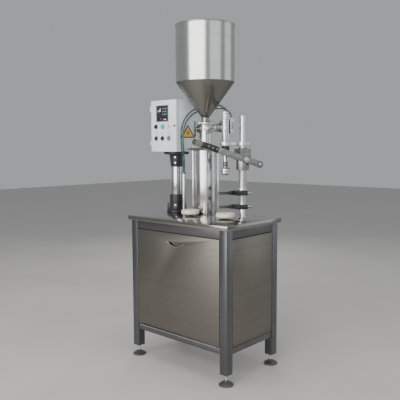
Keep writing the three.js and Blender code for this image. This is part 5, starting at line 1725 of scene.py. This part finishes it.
# ---- pedestal and enclosure ----
@dataclass
class ControlStand:
    """The pedestal with the control enclosure and everything on its door."""

    kit: Kit
    base_radius: float = 43.0
    base_flange: float = 62.0
    base_top: float = 109.0
    tube_radius: float = 33.5
    tube_top: float = 281.0
    cable_bore: float = 24.0
    head_low: float = 34.0
    head_high: float = 42.0
    head_flange: float = 78.0
    head_top: float = 374.0
    groove_pitch: float = 3.2
    control_columns: tuple[float, float, float] = (-64.0, -9.0, 45.0)
    control_rows: tuple[float, float] = (-3.0, -74.0)
    button_radius: float = 11.0
    button_proud: float = 8.0
    button_length: float = 26.0
    bezel_radius: float = 14.5
    bezel_proud: float = 3.0
    screen_half: tuple[float, float] = (52.0, 49.0)
    screen_middle: tuple[float, float] = (-8.0, 76.0)
    sign_base: float = 130.0
    sign_rise: float = 80.0
    sign_ahead: float = 74.0
    sign_below: float = 45.0
    sign_inner: float = 0.74
    place: Matrix = field(init=False)
    door_face: float = field(init=False)
    middle: tuple[float, float] = field(init=False)
    half: tuple[float, float] = field(init=False)
    seam: float = field(init=False)
    back: float = field(init=False)

    def __post_init__(self) -> None:
        """Reads the enclosure's faces from its solids, in the pedestal's own millimetres."""
        site = self.kit.site
        self.place = site.on_table(site.pedestal)
        to_own = self.place.inverted()
        low, high = (to_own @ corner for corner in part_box("enclosure_door"))
        self.door_face, self.seam = low.y, high.y
        self.back = (to_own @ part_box("enclosure_body")[1]).y
        self.middle = ((low.x + high.x) / 2, (low.z + high.z) / 2)
        self.half = ((high.x - low.x) / 2, (high.z - low.z) / 2)

    def build_pedestal(self) -> None:
        """Makes the base, tube and head."""
        bore = self.cable_bore
        solid = Solid(self.kit.shop, self.place)
        solid.lathe(
            [(bore, 0.3), (self.base_flange, 0.3), (self.base_flange, 11.0), (50.0, 15.0),
             (self.base_radius, 24.0), (self.base_radius, 62.0), (self.base_radius + 1.5, 64.0),
             (self.base_radius + 1.5, 70.0), (self.base_radius, 72.0), (self.base_radius, self.base_top - 2),
             (self.base_radius - 3, self.base_top), (bore, self.base_top)], BLACK_FITTING, closed=True)
        for turn in (200.0, 20.0):
            swung = Matrix.Rotation(math.radians(turn), 4, "Z")
            solid.box((38.0, -13.0, 10.0), (61.0, 13.0, 54.0), BLACK_FITTING, 2.5, swung)
            solid.rod(4.5, 0.0, 3.0, BRIGHT_STEEL, (0.0, 0.0, 36.0), Axis.X,
                      turn=swung @ moved(60.0, 0.0, 0.0))
        solid.piece("fine_pedestal_base", "machine", "black_fitting", "pedestal_base")
        self.kit.repeats.barrel_row(
            "base_grooves", [(0.0, 0.0, 76.0)], self.place, "machine", "black_fitting",
            self.base_radius + 0.8, self.groove_pitch * 0.5, (0.0, 0.0, self.groove_pitch), 9,
            finish=BLACK_FITTING)
        solid = Solid(self.kit.shop, self.place)
        solid.ring(
            self.tube_radius, self.tube_radius - 3, self.base_top + 0.3, self.tube_top, CYLINDER_STEEL,
            sides=128)
        solid.piece("fine_pedestal_tube", "machine", "machined_steel", "pedestal_tube")
        solid = Solid(self.kit.shop, self.place)
        flange = self.head_top - 17.0
        solid.lathe(
            [(bore, self.tube_top + 0.3), (self.head_low, self.tube_top + 0.3),
             (self.head_low + 3, self.tube_top + 8), (self.head_high, flange - 12),
             (self.head_high + 4, flange), (self.head_flange - 4, flange), (self.head_flange, flange + 5),
             (self.head_flange, self.head_top), (bore, self.head_top)], BLACK_FITTING, closed=True, soft=1.6)
        solid.piece("fine_pedestal_head", "machine", "black_fitting", "pedestal_head")
        self.build_screws()

    def build_screws(self) -> None:
        """Adds the bright screws in the pedestal's head and base."""
        to_front = (90.0, 0.0, 32.0)
        way = Vector((math.sin(math.radians(32.0)), -math.cos(math.radians(32.0)), 0.0))
        spots = []
        for radius, height in ((self.head_high - 1.5, 340.0), (37.5, 306.0), (self.base_radius - 0.5, 44.0)):
            spot = way * radius
            spots.append((spot.x, spot.y, height))
        self.kit.repeats.cap_screws(
            "pedestal_screws", spots, self.place, "machine", "black_fitting", 5.0, 3.0, to_front)

    def build_enclosure(self) -> None:
        """Makes the box and door with their seal, hinges and lock."""
        refined(self.kit.shop, "enclosure_body", "control_box", CABINET_PAINT, 2.2)
        refined(self.kit.shop, "enclosure_door", "box_door", CABINET_PAINT, 2.2)
        x, z = self.middle
        wide, tall = self.half[0] - 1.2, self.half[1] - 1.2
        solid = Solid(self.kit.shop, self.place)
        for low, high in (
            ((x - wide, z - tall), (x + wide, z - tall + 8)),
            ((x - wide, z + tall - 8), (x + wide, z + tall)),
            ((x - wide, z - tall + 8), (x - wide + 8, z + tall - 8)),
            ((x + wide - 8, z - tall + 8), (x + wide, z + tall - 8)),
        ):
            solid.box(
                (low[0], self.seam + 0.4, low[1]), (high[0], self.seam + 2.2, high[1]), SEAL_RUBBER, 0.3)
        solid.piece("door_seal", "control_box", "black_fitting")
        edge = x - self.half[0]
        solid = Solid(self.kit.shop, self.place)
        for height in (z - 105.0, z + 105.0):
            solid.rod(4.0, height - 16, height + 16, BRIGHT_STEEL, (edge - 2.0, self.door_face - 2.0, 0.0))
            solid.box(
                (edge - 2.2, self.door_face - 1.0, height - 14),
                (edge - 0.2, self.door_face + 22.0, height + 14),
                BRIGHT_STEEL, 0.5)
        solid.piece("door_hinge_barrels", "box_door", "bright_steel")
        lock = (x + self.half[0] - 12.0, self.door_face, z)
        solid = Solid(self.kit.shop, self.place)
        solid.rod(7.5, -2.0, 1.0, DARK_STEEL, lock, Axis.Y)
        solid.box(
            (lock[0] - 1.2, lock[1] - 3.0, lock[2] - 5.0), (lock[0] + 1.2, lock[1] - 1.5, lock[2] + 5.0),
            BRIGHT_STEEL, 0.3)
        solid.piece("door_lock", "box_door", "black_fitting")

    def build_screen(self) -> None:
        """Makes the display: bezel, dark glass and plain lit marks with no words."""
        x, z = self.middle[0] + self.screen_middle[0], self.middle[1] + self.screen_middle[1]
        wide, tall = self.screen_half
        face = self.door_face
        solid = Solid(self.kit.shop, self.place)
        solid.box((x - wide, face - 3.0, z - tall), (x + wide, face + 1.0, z + tall), BEZEL_GREY, 1.5)
        solid.box(
            (x - wide + 6, face - 3.6, z - tall + 6), (x + wide - 6, face - 2.5, z + tall - 6),
            SCREEN_DARK, 0.4)
        for row in range(3):
            for column in range(3):
                left, low = x + 4.0 + 13.0 * column, z + 24.0 - 17.0 * row
                solid.box((left, face - 3.9, low), (left + 8.0, face - 3.4, low + 8.0), LEGEND_GREY, 0.2)
        for step in range(5):
            left = x - 38.0 + 6.0 * step
            solid.box(
                (left, face - 4.0, z + 10.0), (left + 3.5, face - 3.4, z + 14.0 + 4.5 * step),
                DIGIT_GLOW, 0.2)
        solid.box((x - 12.0, face - 4.0, z - 36.0), (x - 6.0, face - 3.4, z - 30.0), DIGIT_RED, 0.2)
        solid.box((x + 14.0, face - 4.0, z - 38.0), (x + 36.0, face - 3.4, z - 34.0), DIGIT_GLOW, 0.2)
        solid.piece("display", "box_door", "black_button")

    def build_legends(self) -> None:
        """Adds the pilot lamp and the short plain legends between the button rows."""
        x, z = self.middle
        face = self.door_face
        lamp = (x + self.control_columns[2], face, z + self.control_rows[0])
        solid = Solid(self.kit.shop, self.place)
        solid.rod(5.5, -1.5, 1.0, BRIGHT_STEEL, lamp, Axis.Y)
        solid.rod(3.2, -4.0, 0.0, DIGIT_RED, lamp, Axis.Y, soft=1.5)
        solid.piece("pilot_lamp", "box_door", "black_button")
        solid = Solid(self.kit.shop, self.place)
        height = z + (self.control_rows[0] + self.control_rows[1]) / 2 - 4.0
        for column in self.control_columns:
            for part, width in ((-11.0, 7.0), (-2.0, 5.0), (5.0, 8.0)):
                left = x + column + part
                solid.box(
                    (left, face - 0.5, height), (left + width, face + 0.5, height + 3.5), LEGEND_GREY, 0.1)
        solid.piece("legends", "box_door", "black_button")

    def build_controls(self) -> None:
        """Makes the selector and the four buttons, each in its own bezel."""
        controls = {
            "selector_switch": ("selector", "black_button", BUTTON_BLACK, 0, 0),
            "lit_button": ("button_lit", "teal_lens", BUTTON_TEAL, 1, 0),
            "black_button_left": ("button_black_left", "black_button", BUTTON_BLACK, 0, 1),
            "black_button_middle": ("button_black_middle", "black_button", BUTTON_BLACK, 1, 1),
            "green_button": ("button_green", "green_button", BUTTON_GREEN, 2, 1),
        }
        bezels = Solid(self.kit.shop, self.place)
        rim = self.bezel_radius
        for name, (body, slot, finish, column, row) in controls.items():
            spot = (
                self.middle[0] + self.control_columns[column], self.door_face,
                self.middle[1] + self.control_rows[row])
            ring_finish = BUTTON_BLACK if finish is BUTTON_BLACK else BEZEL_GREY
            bezels.lathe(
                [(self.button_radius + 0.5, 0.0), (self.button_radius + 0.5, -self.bezel_proud),
                 (rim - 1.5, -self.bezel_proud), (rim, -0.8), (rim, 0.0)], ring_finish, spot, Axis.Y,
                64, 0.5, closed=True)
            cap = Solid(self.kit.shop, self.place)
            radius, out = self.button_radius, -self.button_proud
            cap.lathe(
                [(0.0, out + 0.6), (radius - 3, out), (radius - 0.6, out), (radius, out + 1.2),
                 (radius, self.button_length + out), (0.0, self.button_length + out)], finish, spot,
                Axis.Y, 64, 0.5)
            if name == "selector_switch":
                x, y, z = spot
                cap.box(
                    (x - 3.2, y - 15.8, z - radius + 0.5), (x + 3.2, y + out + 1, z + radius - 0.5), finish,
                    1.4)
                # The pointer line takes the lit display finish and glows though the knob has no lamp: a
                # painted highlight.
                cap.box((x - 0.7, y - 16.0, z + 2.0), (x + 0.7, y - 15.5, z + radius - 1.5), DIGIT_GLOW, 0.1)
            cap.piece(f"fine_{name}", body, slot, name)
        bezels.piece("control_bezels", "box_door", "black_button")

    def build_sign(self) -> None:
        """Adds a yellow warning triangle with a black border and bolt to the enclosure's right side."""
        wall = self.middle[0] + self.half[0]
        spot = Vector((wall, self.seam + self.sign_ahead, self.middle[1] - self.sign_below))
        upright = Matrix(((0, 0, 1, 0), (1, 0, 0, 0), (0, 1, 0, 0), (0, 0, 0, 1)))
        solid = Solid(self.kit.shop, self.place)
        place = Matrix.Translation(spot) @ upright
        for share, high, finish in ((1.0, 0.5, SIGN_BLACK), (self.sign_inner, 0.9, SIGN_YELLOW)):
            foot, half = -self.sign_rise / 3 * share, self.sign_base / 2 * share
            corners = [(-half, foot), (half, foot), (0.0, self.sign_rise * 2 / 3 * share)]
            solid.prism(corners, -0.3, high, finish, place, 0.0)
        bolt = [(-10.0, -3.0), (0.0, -3.0), (-5.0, -18.0), (11.0, 5.0), (2.0, 5.0), (6.0, 26.0)]
        solid.prism(bolt, -0.3, 1.2, SIGN_BLACK, place, 0.0)
        solid.piece("yellow_sign", "control_box", "enclosure_paint")


# ---- studio ----
@dataclass(frozen=True)
class Softbox:
    """One large soft light."""

    name: str
    place: Point
    aim: Point
    wide: float
    tall: float
    power: float
    colour: Rgb = (1.0, 1.0, 1.0)
    mirrored: bool = True


@dataclass
class Studio:
    """The camera, floor, lights and surroundings."""

    site: Site
    shop: Shop
    eye: Point = (2.1533, -2.3767, 1.2445)
    heading: float = 0.741
    dip: float = 0.093
    roll: float = -0.005
    lens: float = 50.04
    sensor: float = 36.0
    floor_half: float = 14.0
    surround: Rgb = (0.40, 0.41, 0.43)
    strength: float = 0.95
    boxes: tuple[Softbox, ...] = (
        Softbox("Key softbox", (0.75, -4.1, 2.0), (0.0, 0.0, 1.1), 5.0, 3.2, 235.0, (1.0, 0.99, 0.98)),
        Softbox("Fill softbox", (3.9, -0.6, 1.9), (0.0, 0.0, 1.1), 3.2, 2.8, 27.0, (0.94, 1.0, 0.98)),
        Softbox("Side softbox", (2.6, 3.0, 1.6), (0.0, 0.0, 1.0), 2.4, 2.8, 16.0, (0.96, 1.0, 0.98)),
        Softbox("Overhead softbox", (0.0, -0.5, 4.0), (0.0, 0.0, 0.0), 2.6, 2.6, 45.0, mirrored=False),
        Softbox("Back softbox", (-2.6, 3.0, 2.4), (0.0, 0.0, 1.2), 1.4, 2.4, 30.0, mirrored=False),
    )

    def place_camera(self) -> None:
        """Stands the camera before the machine, at its right-hand front corner."""
        ahead = Vector((
            -math.sin(self.heading) * math.cos(self.dip), math.cos(self.heading) * math.cos(self.dip),
            -math.sin(self.dip)))
        right = Vector((math.cos(self.heading), math.sin(self.heading), 0.0))
        up = right.cross(ahead)
        c, s = math.cos(self.roll), math.sin(self.roll)
        right, up = c * right + s * up, c * up - s * right
        data = bpy.data.cameras.new("Camera")
        data.lens, data.sensor_width = self.lens, self.sensor
        data.clip_end = 50.0
        camera = bpy.data.objects.new("Camera", data)
        bpy.context.scene.collection.objects.link(camera)
        turn = Matrix((right, up, -ahead)).transposed().to_4x4()
        middle = Vector((self.site.table.x, self.site.table.y, 0.0))
        camera.matrix_world = Matrix.Translation(middle + Vector(self.eye)) @ turn
        bpy.context.scene.camera = camera

    def lay_floor(self) -> None:
        """Lays the plain pale floor."""
        half = self.floor_half
        mesh = bpy.data.meshes.new("floor")
        corners = [(-half, -half, 0.0), (half, -half, 0.0), (half, half, 0.0), (-half, half, 0.0)]
        mesh.from_pydata(corners, [], [(0, 1, 2, 3)])
        mesh.materials.append(FLOOR_PAINT.material(self.shop))
        floor = bpy.data.objects.new("floor", mesh)
        bpy.context.scene.collection.objects.link(floor)

    def light(self) -> None:
        """Hangs the softboxes and sets the surroundings."""
        for box in self.boxes:
            data = bpy.data.lights.new(box.name, "AREA")
            data.shape, data.size, data.size_y = "RECTANGLE", box.wide, box.tall
            data.energy, data.color = box.power, box.colour
            lamp = bpy.data.objects.new(box.name, data)
            lamp.visible_glossy = box.mirrored
            bpy.context.scene.collection.objects.link(lamp)
            way = Vector(box.aim) - Vector(box.place)
            facing = way.to_track_quat("-Z", "Y").to_matrix().to_4x4()
            lamp.matrix_world = Matrix.Translation(box.place) @ facing
        world = bpy.data.worlds.new("Studio")
        world.use_nodes = True
        backdrop = world.node_tree.nodes["Background"]
        backdrop.inputs["Color"].default_value = opaque(self.surround)
        backdrop.inputs["Strength"].default_value = self.strength
        bpy.context.scene.world = world


def main() -> None:
    """Builds the whole machine and its studio."""
    logging.basicConfig(level=logging.INFO, format="%(message)s")
    shop = Shop()
    kit = Kit(Site.from_frame(), shop, Repeats(shop))
    studio = Studio(kit.site, shop)
    studio.place_camera()
    air = AirLine(kit)
    air.build_hoses()
    studio.lay_floor()
    studio.light()
    air.build_conduit()

    cabinet = Cabinet(kit)
    cabinet.build_frame()
    cabinet.build_panels()
    cabinet.build_hinge()
    cabinet.build_feet()

    dosing = DosingUnit(kit)
    dosing.build_cylinder()
    dosing.build_tie_rods()
    dosing.build_drive()
    dosing.build_valve()
    dosing.build_hopper()
    dosing.build_outlet()

    nozzle = Nozzle(kit)
    nozzle.build_head()
    nozzle.build_tube()
    nozzle.build_cylinder()

    lever = SpringLever(kit)
    lever.build_column()
    lever.build_top_clamp()
    lever.build_carriage()
    lever.build_lever()
    lever.build_grip()
    lever.build_spring()
    lever.build_guides()

    discs = RestDiscs(kit)
    discs.build("rest_disc_left", kit.site.left_disc, "disc_left")
    discs.build("rest_disc_right", kit.site.nozzle, "disc_right")

    control_stand = ControlStand(kit)
    control_stand.build_pedestal()
    control_stand.build_enclosure()
    control_stand.build_screen()
    control_stand.build_legends()
    control_stand.build_controls()
    control_stand.build_sign()


if __name__ == "__main__":
    main()
